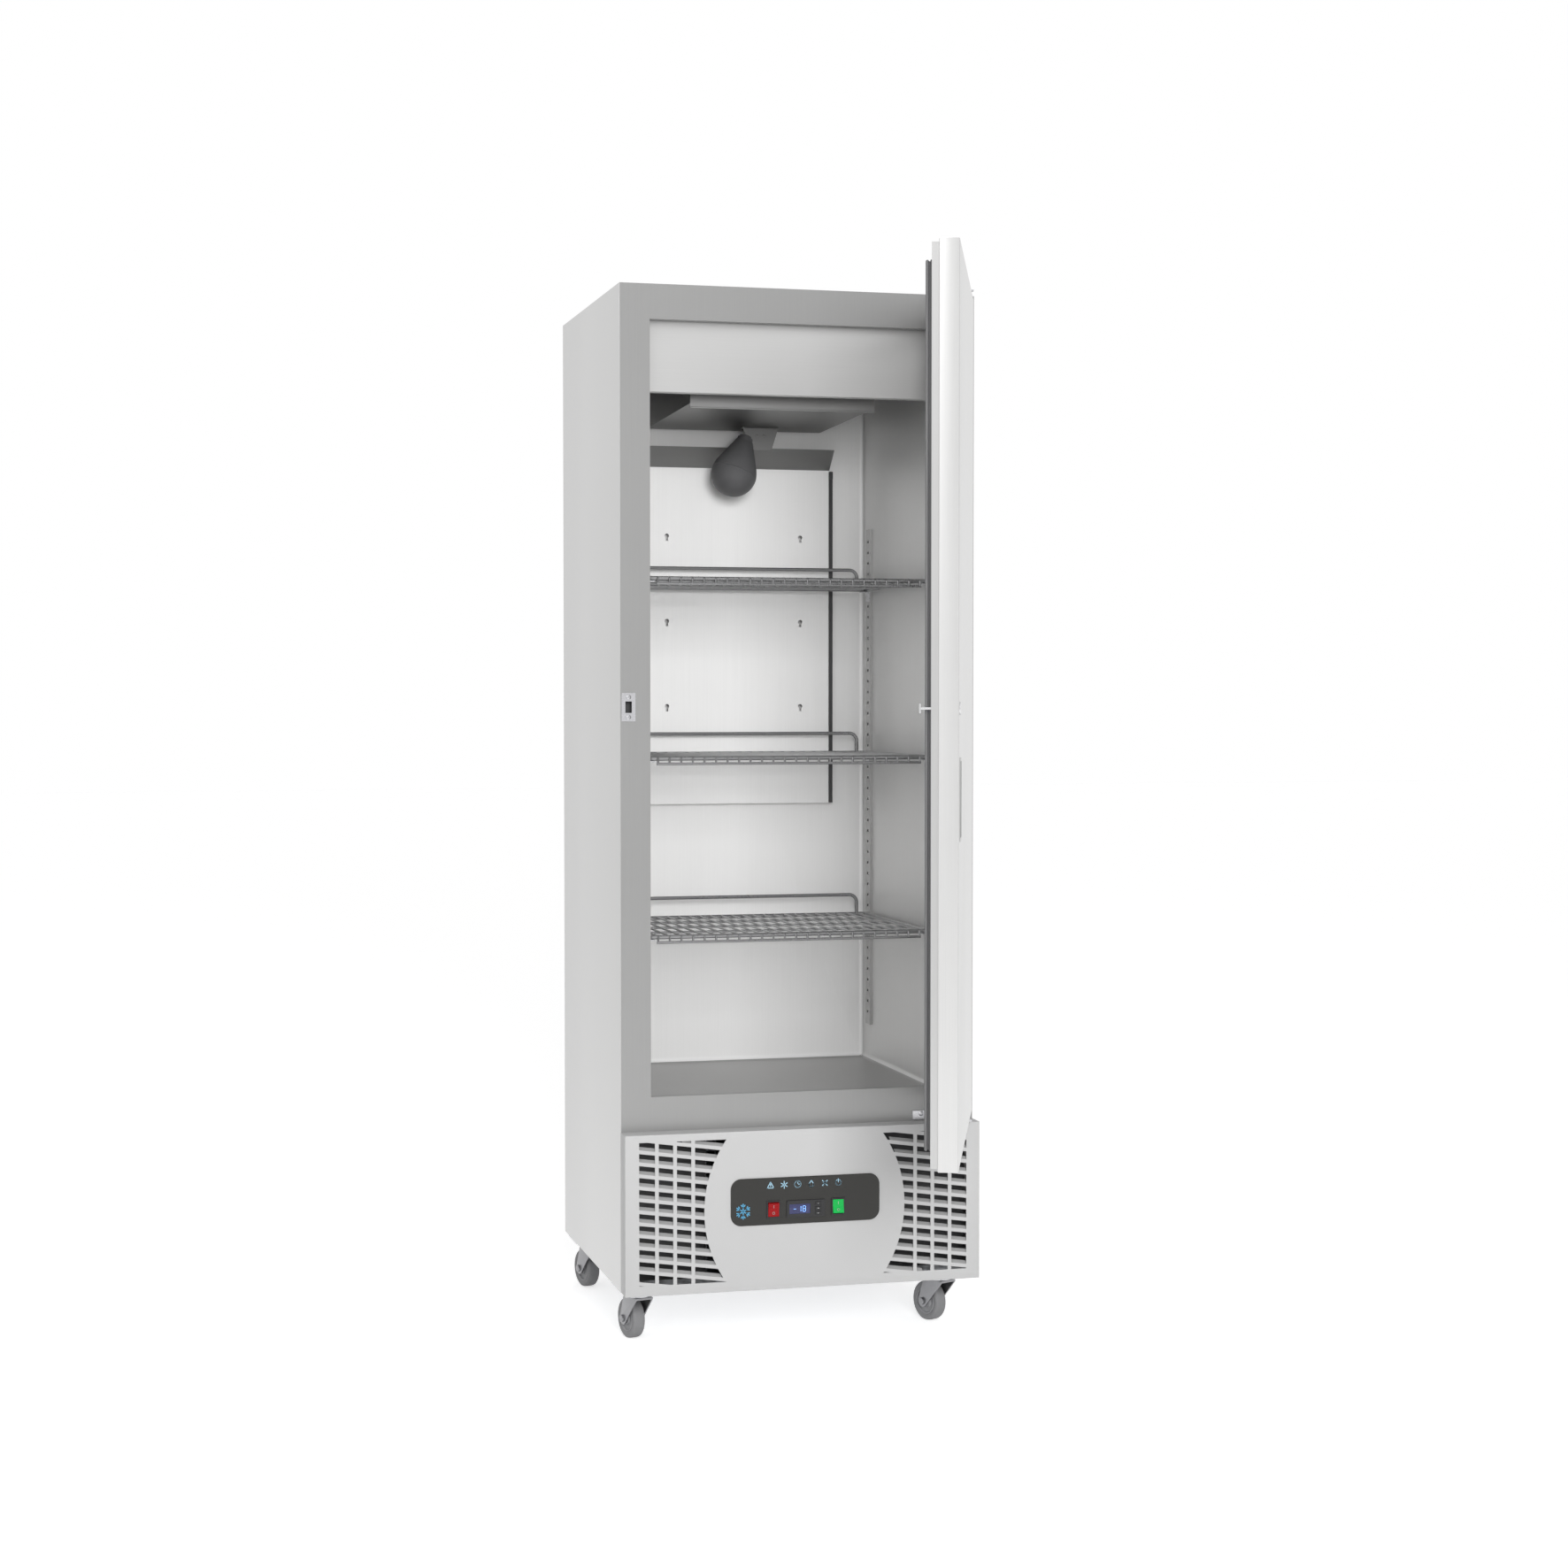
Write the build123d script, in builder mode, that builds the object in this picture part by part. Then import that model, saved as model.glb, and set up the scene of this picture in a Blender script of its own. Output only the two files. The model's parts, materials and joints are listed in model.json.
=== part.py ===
from build123d import *
import os
from math import asin, atan, cos, degrees, hypot, radians, sin

os.makedirs("parts", exist_ok=True)

# Upright freezer, millimetres. X runs to the right, Y to the back and Z up from the floor.
# The origin lies on the floor under the middle of the whole object with its door standing open.

# Cabinet
cabinet_width = 680
cabinet_depth = 590
cabinet_height = 1849
castor_height = 105
machine_height = 295
casing_sheet = 1.2
liner_sheet = 1.0
side_wall = 57
back_wall = 50
floor_wall = 50
roof_wall = 59
sill_height = 64.5
header_height = 64
frame_depth = 20
seam = 0.5

# Door
door_open_angle = 69.5
door_pan_depth = 34
door_inner_depth = 12
door_inner_inset = 5
door_skin = 1.0
door_gap_bottom = 21
door_gap_top = 9
gasket_gap = 12
gasket_clearance = 0.5
gasket_inset = 30
gasket_width = 16
# Foot, bellows and sealing face: start and end as shares of the depth, and how much narrower
gasket_steps = ((0, 0.3, 0), (0.3, 0.65, 2.5), (0.65, 1, 1))
hinge_inset = 30
hinge_behind_face = 11
hinge_pin_radius = 5
hinge_pin_grip = 20
bush_radius = 9
bush_length = 22
running_gap = 0.05
part_gap = 0.3
bracket_sheet = 4
roof_bracket_sheet = 3
bracket_width = 66
bracket_cover = 9
bracket_reach = 12
bracket_drop = 13

# Door handle and lock
handle_width = 45
handle_height = 130
handle_depth = 22
handle_wall = 2
handle_flange = 4
handle_flange_proud = 1.5
handle_from_edge = 49
handle_below_lock = 150
lock_from_edge = 16
lock_height = 782
lock_barrel_radius = 9.5
lock_flange_radius = 11
lock_flange_sheet = 2
lock_plug_radius = 6
tongue_length = 16
tongue_width = 5
tongue_sheet = 3
tongue_throw = 20
key_slot_length = 8
key_slot_width = 1.6
key_slot_depth = 5
strike_width = 26
strike_height = 52
strike_sheet = 2
strike_slot_width = 12
strike_slot_height = 21

# Cold room
fascia_height = 135
fascia_setback = 22
fascia_return = 20
tray_side_gap = 102
tray_front = 122
tray_back_gap = 20
tray_front_drop = 143
tray_back_drop = 152
tray_lip = 12
fan_deck_from_back = 89
coil_side_gap = 31
coil_front = 180
coil_depth = 200
coil_height = 100
coil_above_tray = 18
coil_rows = 4
coil_columns = 4
duct_side_gap = 81
duct_standoff = 20
duct_height = 683.5
duct_below_ceiling = 229
hood_lean = 40
hood_height = 39
keyhole_x = 140
keyhole_rows = (199, 372, 545)
keyhole_radius = 4.5
keyhole_slot_width = 5
keyhole_slot_drop = 10
# Places of the lamp's globe and neck: X, then how far before the rear wall and below the ceiling
lamp_globe = (-18, 95, 246)
lamp_neck = (8, 85, 175)
lamp_radius = 46
lamp_neck_radius = 14
lamp_bracket_x = 38
lamp_bracket_from_back = 90
lamp_bracket_top = 74
lamp_bracket_foot = 39
lamp_bracket_drop = 46
lamp_bracket_sheet = 3
lamp_bracket_flange = 16

# Shelves and their supports
shelf_heights = {"bottom": 303, "middle": 636, "top": 971}
shelf_side_gap = 11
shelf_front = 70
shelf_back_gap = 45
rim_radius = 4
shelf_wires = 24
wire_radius = 2
cross_bar_radius = 2.5
cross_bars = 3
front_rod_drop = 10
front_rod_radius = 2.5
weld_depth = 0.5
rail_inset = 18
rail_rise = 40
rail_radius = 3.5
rail_bend = 16
pilaster_width = 30
pilaster_depth = 6
pilaster_back_gap = 34
pilaster_foot = 75
pilaster_head = 350
pilaster_pitch = 22
pilaster_slot_width = 8
pilaster_slot_height = 5
clip_sheet = 2
clip_reach = 15
rear_clip_depth = 24
front_clip_depth = 30
clip_height = 20

# Plinth with its grilles and control panel
plinth_depth = 42
plinth_overlap = 1
plinth_flange = 20
grille_side_gap = 26
grille_top_gap = 13.5
grille_bottom = 19
grille_arc_radius = 231
grille_arc_offset = 39
grille_arc_height = 150
grille_bar = 7
grille_column_inset = 101
grille_column_pitch = 34
grille_columns = 3
grille_row_pitch = 22
grille_row_first = -20
grille_row_slope = 0.14
grille_slat = 6.8
bezel_width = 285
bezel_height = 87
bezel_corner = 20
bezel_sheet = 3
bezel_middle = 164.5
bezel_round = 1
controller_width = 74
controller_height = 32
controller_middle = 148.5
controller_flange = 2.5
controller_body_width = 68
controller_body_height = 28
controller_body_depth = 52
display_width = 40
display_height = 18
display_recess = 0.8
display_x = -12
key_width = 11
key_height = 6
key_x = 23
key_pitch = 9
key_thickness = 3
key_proud = 1
key_travel = 0.8
rocker_x = 62
rocker_middle = 149.5
rocker_frame_width = 26
rocker_frame_height = 32
rocker_frame_sheet = 2
rocker_body_width = 23.6
rocker_body_depth = 20
rocker_cap_width = 20.5
rocker_cap_height = 25
rocker_cap_front = 5
rocker_cap_back = 4
rocker_cap_waist = 3.5
rocker_body_wall = 1
rocker_tilt = 8
rocker_pin_radius = 1.5
rocker_pin_reach = 1

# Machine compartment
tray_sheet = 1.5
tray_flange = 20
condenser_half_width = 170
condenser_front = 40
condenser_depth = 60
condenser_height = 240
condenser_lift = 28
condenser_rows = 6
condenser_columns = 2
coil_fins = 20
coil_fin_sheet = 0.8
coil_tube_radius = 5
coil_overhang = 8
shroud_half_width = 176
shroud_depth = 40
shroud_sheet = 1.5
shroud_margin = 5
shroud_hole_radius = 115
condenser_fan_radius = 110
condenser_hub_radius = 30
condenser_hub_depth = 20
condenser_fan_setback = 4
condenser_blades = 5
condenser_blade_pitch = 25
motor_radius = 40
motor_depth = 50
motor_arm = 128
motor_arm_width = 14
motor_arm_sheet = 3
motor_shaft_radius = 4
compressor_x = 60
compressor_from_back = 220
compressor_radius = 75
compressor_height = 165
compressor_foot_height = 14
compressor_plate = (210, 150, 3)
compressor_dome = 34
compressor_foot_inset = 20
compressor_foot_radius = 10
terminal_box_reach = 20
drip_pan_size = (200, 220, 60)
drip_pan_side_gap = 38.8
drip_pan_back_gap = 70
drip_pan_wall = 2
drip_pan_lift = 6
drip_pan_runner = 8
electrical_size = (120, 115, 110)
electrical_side_gap = 18.8
electrical_back_gap = 45
electrical_wall = 2.5
rear_grille_recess = 12
rear_slot_width = 100
rear_slot_height = 7
rear_slot_pitch = 18
rear_slot_rows = 12
rear_slot_columns = 3
rear_slot_column_pitch = 130
rear_slot_side_gap = 78.8
inlet_side_gap = 107.8
inlet_height = 60
inlet_flange = (31, 26)
inlet_flange_sheet = 2.5
inlet_body = (27.5, 22)
inlet_body_depth = 20
inlet_cavity = (24, 17)
inlet_cavity_depth = 16.5
inlet_blade = (2, 4, 12)
inlet_blade_pitch = 7
pipe_bend = 18
discharge_radius = 3
liquid_radius = 3
suction_radius = 5
pipe_side_gap = 37
drier_radius = 10
drier_length = 110

# Evaporator fan
evaporator_fan_size = 119
evaporator_fan_depth = 38
evaporator_bore_radius = 57
evaporator_tip_radius = 54
evaporator_hub_radius = 25
evaporator_hub_depth = 21
evaporator_blades = 7
evaporator_blade_pitch = 35
evaporator_fan_setback = 1.5
stator_sheet = 5
stator_strut = 6
evaporator_shaft_radius = 3
blade_sheet = 2
blade_root_share = 0.8
blade_chord_share = 0.8

# Castors
castor_side_inset = 45
castor_front_inset = 62
castor_back_inset = 72
castor_plate = (86, 84)
castor_plate_sheet = 4
castor_race_radius = 25
castor_race_depth = 16
king_pin_radius = 6
king_pin_gap = 1
fork_crown = (52, 36, 4)
fork_gap = 30
fork_cheek = 3
fork_tip_radius = 12
wheel_radius = 37.5
wheel_width = 24
wheel_edge = 4
wheel_web_depth = 4
wheel_web_outer = 26
wheel_web_inner = 12
axle_radius = 4
axle_head_radius = 7
axle_head_depth = 4
castor_trail = 30
trail_angles = {
    "front_left": (-1, castor_front_inset, 14),
    "front_right": (1, castor_front_inset, 22),
    "back_left": (-1, cabinet_depth - castor_back_inset, 15),
    "back_right": (1, cabinet_depth - castor_back_inset, 20),
}

# Screws
screw_head_radius = 4.5
screw_head_depth = 2.5
bolt_spread = (31, 30)
roof_screw_edge = 12
roof_screw_front = 6
grille_screw_edge = 12
grille_screw_end = 40

# Places that follow from the sizes above
half_width = cabinet_width / 2
inside_half = half_width - casing_sheet
room_half = half_width - side_wall
room_depth = cabinet_depth - back_wall
shelf_half_width = room_half - shelf_side_gap
shelf_back = room_depth - shelf_back_gap
rail_half_width = shelf_half_width - rail_inset
tray_half_width = room_half - tray_side_gap
tray_back = room_depth - tray_back_gap
coil_half_width = tray_half_width - coil_side_gap
duct_half_width = room_half - duct_side_gap
castor_x = half_width - castor_side_inset
base = castor_height
machine_top = base + machine_height
roof = base + cabinet_height
room_floor = machine_top + floor_wall
room_ceiling = roof - roof_wall
sill_top = machine_top + sill_height
header_bottom = roof - header_height

door_thickness = door_pan_depth + door_inner_depth
door_height = roof - door_gap_top - machine_top - door_gap_bottom
door_bottom = machine_top + door_gap_bottom
door_far = cabinet_width - hinge_inset
hinge_forward = gasket_gap + door_thickness - hinge_behind_face
open_angle = radians(door_open_angle)
door_reach = hinge_forward + door_far * sin(open_angle) + hinge_behind_face * cos(open_angle)
front = (door_reach - cabinet_depth) / 2
back = front + cabinet_depth
room_back = front + room_depth
frame_back = front + frame_depth
hinge_x = half_width - hinge_inset
hinge_y = front - hinge_forward
plinth_y = front - plinth_depth
lock_z = machine_top + lock_height
tray_top = base + tray_sheet


def block(x_span, y_span, z_span, mode=Mode.ADD):
    """A box that fills the given low and high values on each axis."""
    middle = [sum(span) / 2 for span in (x_span, y_span, z_span)]
    size = [max(span) - min(span) for span in (x_span, y_span, z_span)]
    with Locations(tuple(middle)):
        Box(*size, mode=mode)


def rod(start, end, radius, mode=Mode.ADD):
    """A round bar from one point to another."""
    run = Vector(*end) - Vector(*start)
    with Locations(Plane(origin=start, z_dir=run)):
        Cylinder(radius, run.length, align=(Align.CENTER, Align.CENTER, Align.MIN), mode=mode)


def both(reach):
    """The span from minus to plus the given reach."""
    return (-reach, reach)


def group(name, pieces):
    """Separate solids that share one node."""
    return Compound(label=name, children=pieces)


# Casing
for side, sign in (("left", -1), ("right", 1)):
    with BuildPart() as side_panel:
        block((sign * inside_half, sign * half_width), (front, back), (base, roof))
    side_panel.part.label = f"side_panel_{side}"
    export_step(side_panel.part, f"parts/side_panel_{side}.step")

with BuildPart() as top_panel:
    block(both(inside_half), (frame_back, back - casing_sheet), (roof - casing_sheet, roof))
top_panel.part.label = "top_panel"
export_step(top_panel.part, "parts/top_panel.step")

with BuildPart() as back_panel:
    block(both(inside_half), (back - casing_sheet, back), (machine_top, roof))
back_panel.part.label = "back_panel"
export_step(back_panel.part, "parts/back_panel.step")

with BuildPart() as underside_panel:
    block(
        both(inside_half),
        (frame_back, back - casing_sheet),
        (machine_top, machine_top + casing_sheet),
    )
underside_panel.part.label = "underside_panel"
export_step(underside_panel.part, "parts/underside_panel.step")

# Front frame: two stiles and two rails, each folded from sheet and open at its back
lock_x = hinge_x - (door_far - lock_from_edge)
frame_bars = []
for sign in (-1, 1):
    with BuildPart() as stile:
        block((sign * room_half, sign * inside_half), (front, frame_back), (machine_top, roof))
        block(
            (sign * (room_half + casing_sheet), sign * (inside_half - casing_sheet)),
            (front + casing_sheet, frame_back),
            (machine_top + casing_sheet, roof - casing_sheet),
            Mode.SUBTRACT,
        )
        if sign < 0:
            block(
                (lock_x - strike_slot_width / 2, lock_x + strike_slot_width / 2),
                (front, front + casing_sheet),
                (lock_z - strike_slot_height / 2, lock_z + strike_slot_height / 2),
                Mode.SUBTRACT,
            )
    frame_bars.append(stile.part)
sill_pocket = (machine_top + casing_sheet, room_floor - liner_sheet)
header_pocket = (room_ceiling + liner_sheet, roof - casing_sheet)
for rail_span, pocket in (((machine_top, sill_top), sill_pocket), ((header_bottom, roof), header_pocket)):
    with BuildPart() as rail:
        block(both(room_half), (front, frame_back), rail_span)
        block(
            both(room_half - casing_sheet),
            (front + casing_sheet, frame_back),
            pocket,
            Mode.SUBTRACT,
        )
    frame_bars.append(rail.part)
front_frame = group("front_frame", frame_bars)
export_step(front_frame, "parts/front_frame.step")

# Foam: one slab behind each wall of the liner
liner_half = room_half + liner_sheet
liner_back = room_back + liner_sheet
foam_back = back - casing_sheet
foam_low = machine_top + casing_sheet
foam_high = roof - casing_sheet
slab_spans = [
    ((-inside_half, -liner_half), (frame_back, foam_back), (foam_low, foam_high)),
    ((liner_half, inside_half), (frame_back, foam_back), (foam_low, foam_high)),
    (both(liner_half), (liner_back, foam_back), (foam_low, foam_high)),
    (both(liner_half), (frame_back, liner_back), (foam_low, room_floor - liner_sheet)),
    (both(liner_half), (frame_back, liner_back), (room_ceiling + liner_sheet, foam_high)),
]
slabs = []
for spans in slab_spans:
    with BuildPart() as slab:
        block(*spans)
    slabs.append(slab.part)
cabinet_insulation = group("cabinet_insulation", slabs)
export_step(cabinet_insulation, "parts/cabinet_insulation.step")

with BuildPart() as inner_liner:
    block(
        both(liner_half),
        (frame_back, liner_back),
        (room_floor - liner_sheet, room_ceiling + liner_sheet),
    )
    block(both(room_half), (frame_back, room_back), (room_floor, room_ceiling), Mode.SUBTRACT)
inner_liner.part.label = "inner_liner"
export_step(inner_liner.part, "parts/inner_liner.step")

# Fascia over the opening, a sheet with a return along its top and its bottom
fascia_y = front + fascia_setback
fascia_z = (room_ceiling - fascia_height, room_ceiling)
with BuildPart() as fascia_panel:
    block(both(room_half - seam), (fascia_y, fascia_y + liner_sheet), fascia_z)
    for low in (fascia_z[0], fascia_z[1] - liner_sheet):
        block(
            both(room_half - seam),
            (fascia_y, fascia_y + fascia_return),
            (low, low + liner_sheet),
        )
fascia_panel.part.label = "fascia_panel"
export_step(fascia_panel.part, "parts/fascia_panel.step")

# Evaporator housing: sloping drip tray, two side plates and the plate that carries the fan
tray_y = (front + tray_front, front + tray_back)
tray_z = (room_ceiling - tray_front_drop, room_ceiling - tray_back_drop)
with BuildPart() as evaporator_tray:
    with BuildSketch(Plane.YZ.offset(-(tray_half_width - liner_sheet))):
        with BuildLine():
            Polyline(
                (tray_y[0], tray_z[0]),
                (tray_y[1], tray_z[1]),
                (tray_y[1], tray_z[1] + liner_sheet),
                (tray_y[0] + liner_sheet, tray_z[0] + liner_sheet),
                (tray_y[0] + liner_sheet, tray_z[0] + tray_lip),
                (tray_y[0], tray_z[0] + tray_lip),
                close=True,
            )
        make_face()
    extrude(amount=2 * (tray_half_width - liner_sheet))
housing_plates = [evaporator_tray.part]
for plate_x in (-tray_half_width, tray_half_width - liner_sheet):
    with BuildPart() as housing_side:
        with BuildSketch(Plane.YZ.offset(plate_x)):
            with BuildLine():
                Polyline(
                    (tray_y[0], tray_z[0]),
                    (tray_y[1], tray_z[1]),
                    (tray_y[1], room_ceiling),
                    (tray_y[0], room_ceiling),
                    close=True,
                )
            make_face()
        extrude(amount=liner_sheet)
    housing_plates.append(housing_side.part)
fan_deck_y = tray_y[1] - fan_deck_from_back
evaporator_fan_z = room_ceiling - (tray_front_drop - tray_lip) / 2 - part_gap
with BuildPart() as fan_deck:
    block(
        both(tray_half_width - liner_sheet),
        (fan_deck_y - liner_sheet, fan_deck_y),
        (tray_z[0] + liner_sheet, room_ceiling),
    )
    rod(
        (0, fan_deck_y - liner_sheet, evaporator_fan_z),
        (0, fan_deck_y, evaporator_fan_z),
        evaporator_bore_radius,
        Mode.SUBTRACT,
    )
housing_plates.append(fan_deck.part)
evaporator_housing = group("evaporator_housing", housing_plates)
export_step(evaporator_housing, "parts/evaporator_housing.step")


def coil(half_length, y_span, z_span, rows, columns):
    """Fins on rows of tubes along X, joined by return bends, both tube ends at the right."""
    fin_pitch = (2 * half_length - coil_fin_sheet) / (coil_fins - 1)
    row_pitch = (z_span[1] - z_span[0]) / rows
    column_pitch = (y_span[1] - y_span[0]) / columns
    middle_y = sum(y_span) / 2
    middle_z = sum(z_span) / 2
    end_x = half_length + coil_overhang
    tubes_y = [y_span[0] + (column + 0.5) * column_pitch for column in range(columns)]
    tubes_z = [z_span[0] + (row + 0.5) * row_pitch for row in range(rows)]
    bends = []
    for tube_y in tubes_y:
        for row in range(rows - 1):
            side = -1 if row % 2 == 0 else 1
            middle = (side * end_x, tube_y, tubes_z[row] + row_pitch / 2)
            bends.append(Plane(origin=middle, x_dir=(0, 0, 1), z_dir=(0, side, 0)))
    with Locations((0, middle_y, middle_z)):
        with GridLocations(fin_pitch, 1, coil_fins, 1):
            Box(coil_fin_sheet, y_span[1] - y_span[0], z_span[1] - z_span[0])
    with Locations(*[(0, y, z) for y in tubes_y for z in tubes_z]):
        Cylinder(coil_tube_radius, 2 * end_x, rotation=(0, 90, 0))
    with Locations(*bends):
        Torus(row_pitch / 2, coil_tube_radius, major_angle=180, align=None)


coil_z = tray_z[0] + coil_above_tray
with BuildPart() as evaporator_coil:
    coil(
        coil_half_width,
        (front + coil_front, front + coil_front + coil_depth),
        (coil_z, coil_z + coil_height),
        coil_rows,
        coil_columns,
    )
    for end_x in both(coil_half_width):
        hanger_x = (end_x, end_x - (coil_fin_sheet if end_x > 0 else -coil_fin_sheet))
        block(
            hanger_x,
            (front + coil_front, front + coil_front + coil_depth),
            (coil_z + coil_height, room_ceiling),
        )
evaporator_coil.part.label = "evaporator_coil"
export_step(evaporator_coil.part, "parts/evaporator_coil.step")

# Evaporator fan: a square frame with its stator on four struts, and the rotor on its shaft
fan_frame_y = (fan_deck_y, fan_deck_y + evaporator_fan_depth)
stator_y = (fan_frame_y[1] - stator_sheet, fan_frame_y[1])
with BuildPart() as evaporator_fan_frame:
    block(
        both(evaporator_fan_size / 2),
        fan_frame_y,
        (evaporator_fan_z - evaporator_fan_size / 2, evaporator_fan_z + evaporator_fan_size / 2),
    )
    rod(
        (0, fan_frame_y[0], evaporator_fan_z),
        (0, fan_frame_y[1], evaporator_fan_z),
        evaporator_bore_radius,
        Mode.SUBTRACT,
    )
    rod((0, stator_y[0], evaporator_fan_z), (0, stator_y[1], evaporator_fan_z), evaporator_hub_radius)
    for strut in range(4):
        with Locations(Plane((0, stator_y[0] + stator_sheet / 2, evaporator_fan_z), z_dir=(0, 1, 0))):
            with PolarLocations((evaporator_hub_radius + evaporator_bore_radius) / 2, 1, strut * 90 + 45):
                Box(
                    evaporator_bore_radius - evaporator_hub_radius + 2 * stator_sheet,
                    stator_strut,
                    stator_sheet,
                )
    rod(
        (0, fan_frame_y[0] + stator_sheet, evaporator_fan_z),
        (0, stator_y[0], evaporator_fan_z),
        evaporator_shaft_radius,
    )
evaporator_fan_frame.part.label = "evaporator_fan_frame"
export_step(evaporator_fan_frame.part, "parts/evaporator_fan_frame.step")


def rotor(centre, hub_radius, hub_depth, tip_radius, blades, pitch_angle, bore_radius):
    """A hub on the Y axis through centre, with flat pitched blades trimmed to a round tip."""
    root_radius = hub_radius * blade_root_share
    length = tip_radius - root_radius
    chord = hub_depth / sin(radians(pitch_angle)) * blade_chord_share
    with Locations(Plane(centre, z_dir=(0, 1, 0))):
        with PolarLocations(root_radius + length / 2, blades):
            Box(length, chord, blade_sheet, rotation=(pitch_angle, 0, 0))
        Cylinder(tip_radius, hub_depth, mode=Mode.INTERSECT)
        Cylinder(hub_radius, hub_depth)
        Cylinder(bore_radius, hub_depth, mode=Mode.SUBTRACT)


with BuildPart() as evaporator_fan:
    rotor(
        (0, stator_y[0] - evaporator_fan_setback - evaporator_hub_depth / 2, evaporator_fan_z),
        evaporator_hub_radius,
        evaporator_hub_depth,
        evaporator_tip_radius,
        evaporator_blades,
        evaporator_blade_pitch,
        evaporator_shaft_radius + running_gap,
    )
evaporator_fan.part.label = "evaporator_fan"
export_step(evaporator_fan.part, "parts/evaporator_fan.step")

# Interior lamp: a round globe on a tapering body, held by a bracket under the tray
lamp_start = Vector(lamp_globe[0], room_back - lamp_globe[1], room_ceiling - lamp_globe[2])
lamp_end = Vector(lamp_neck[0], room_back - lamp_neck[1], room_ceiling - lamp_neck[2])
lamp_axis = (lamp_end - lamp_start).normalized()
lamp_length = (lamp_end - lamp_start).length
lamp_taper = asin((lamp_radius - lamp_neck_radius) / lamp_length)
bracket_y = room_back - lamp_bracket_from_back
flange_share = (bracket_y + lamp_bracket_flange - tray_y[0]) / (tray_y[1] - tray_y[0])
bracket_high = tray_z[0] + (tray_z[1] - tray_z[0]) * flange_share
with BuildPart() as interior_lamp:
    with BuildSketch(Plane(lamp_start, x_dir=lamp_axis, z_dir=lamp_axis.cross(Vector(0, 1, 0)))):
        with BuildLine():
            globe = CenterArc((0, 0), lamp_radius, 90 - degrees(lamp_taper), 90 + degrees(lamp_taper))
            Polyline(
                globe @ 0,
                (lamp_length + lamp_neck_radius * sin(lamp_taper), lamp_neck_radius * cos(lamp_taper)),
                (lamp_length + lamp_neck_radius * sin(lamp_taper), 0),
                globe @ 1,
            )
        make_face()
    revolve(axis=Axis(lamp_start, lamp_axis))
    with BuildSketch(Plane.XZ.offset(-bracket_y)):
        with BuildLine():
            Polyline(
                (lamp_bracket_x - lamp_bracket_top / 2, bracket_high),
                (lamp_bracket_x + lamp_bracket_top / 2, bracket_high),
                (lamp_bracket_x + lamp_bracket_foot / 2, bracket_high - lamp_bracket_drop),
                (lamp_bracket_x - lamp_bracket_foot / 2, bracket_high - lamp_bracket_drop),
                close=True,
            )
        make_face()
    extrude(amount=lamp_bracket_sheet)
    block(
        (lamp_bracket_x - lamp_bracket_top / 2, lamp_bracket_x + lamp_bracket_top / 2),
        (bracket_y, bracket_y + lamp_bracket_flange),
        (bracket_high - lamp_bracket_sheet, bracket_high),
    )
interior_lamp.part.label = "interior_lamp"
export_step(interior_lamp.part, "parts/interior_lamp.step")

# Air duct: a panel that stands off the rear wall, with keyholes and a hood leaning forward
duct_y = room_back - duct_standoff
duct_z = (room_ceiling - duct_below_ceiling - duct_height, room_ceiling - duct_below_ceiling)
with BuildPart() as duct_panel:
    with BuildSketch(Plane.YZ.offset(-duct_half_width)):
        with BuildLine():
            Polyline(
                (duct_y, duct_z[0]),
                (duct_y, duct_z[1]),
                (duct_y - hood_lean, duct_z[1] + hood_height),
                (duct_y - hood_lean + 2 * liner_sheet, duct_z[1] + hood_height),
                (duct_y + liner_sheet, duct_z[1] + liner_sheet),
                (duct_y + liner_sheet, duct_z[0]),
                close=True,
            )
        make_face()
    extrude(amount=2 * duct_half_width)
    for plate_x in (-duct_half_width, duct_half_width - liner_sheet):
        block((plate_x, plate_x + liner_sheet), (duct_y, room_back), duct_z)
    with BuildSketch(Plane.XZ.offset(-duct_y)):
        with Locations(*[(x, duct_z[0] + row) for x in both(keyhole_x) for row in keyhole_rows]):
            Circle(keyhole_radius)
            with Locations((0, -keyhole_slot_drop / 2)):
                Rectangle(keyhole_slot_width, keyhole_slot_drop)
    extrude(amount=-liner_sheet, mode=Mode.SUBTRACT)
duct_panel.part.label = "duct_panel"
export_step(duct_panel.part, "parts/duct_panel.step")

# Pilasters: slotted channels on the side walls that carry the rear shelf clips
pilaster_back = room_back - pilaster_back_gap
pilaster_y = (pilaster_back - pilaster_width, pilaster_back)
pilaster_z = (room_floor + pilaster_foot, room_ceiling - pilaster_head)
pilaster_slots = int((pilaster_z[1] - pilaster_z[0]) / pilaster_pitch) - 1
channels = []
for sign in (-1, 1):
    channel_x = sign * (room_half - pilaster_depth)
    with BuildPart() as channel:
        block((channel_x, sign * room_half), pilaster_y, pilaster_z)
        block(
            (channel_x + sign * liner_sheet, sign * room_half),
            (pilaster_y[0] + liner_sheet, pilaster_y[1] - liner_sheet),
            pilaster_z,
            Mode.SUBTRACT,
        )
        slot_plane = Plane(
            origin=(channel_x, sum(pilaster_y) / 2, sum(pilaster_z) / 2),
            x_dir=(0, 1, 0),
            z_dir=(1, 0, 0),
        )
        with BuildSketch(slot_plane):
            with GridLocations(1, pilaster_pitch, 1, pilaster_slots):
                Rectangle(pilaster_slot_width, pilaster_slot_height)
        extrude(amount=liner_sheet, both=True, mode=Mode.SUBTRACT)
    channels.append(channel.part)
pilasters = group("pilasters", channels)
export_step(pilasters, "parts/pilasters.step")

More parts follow.
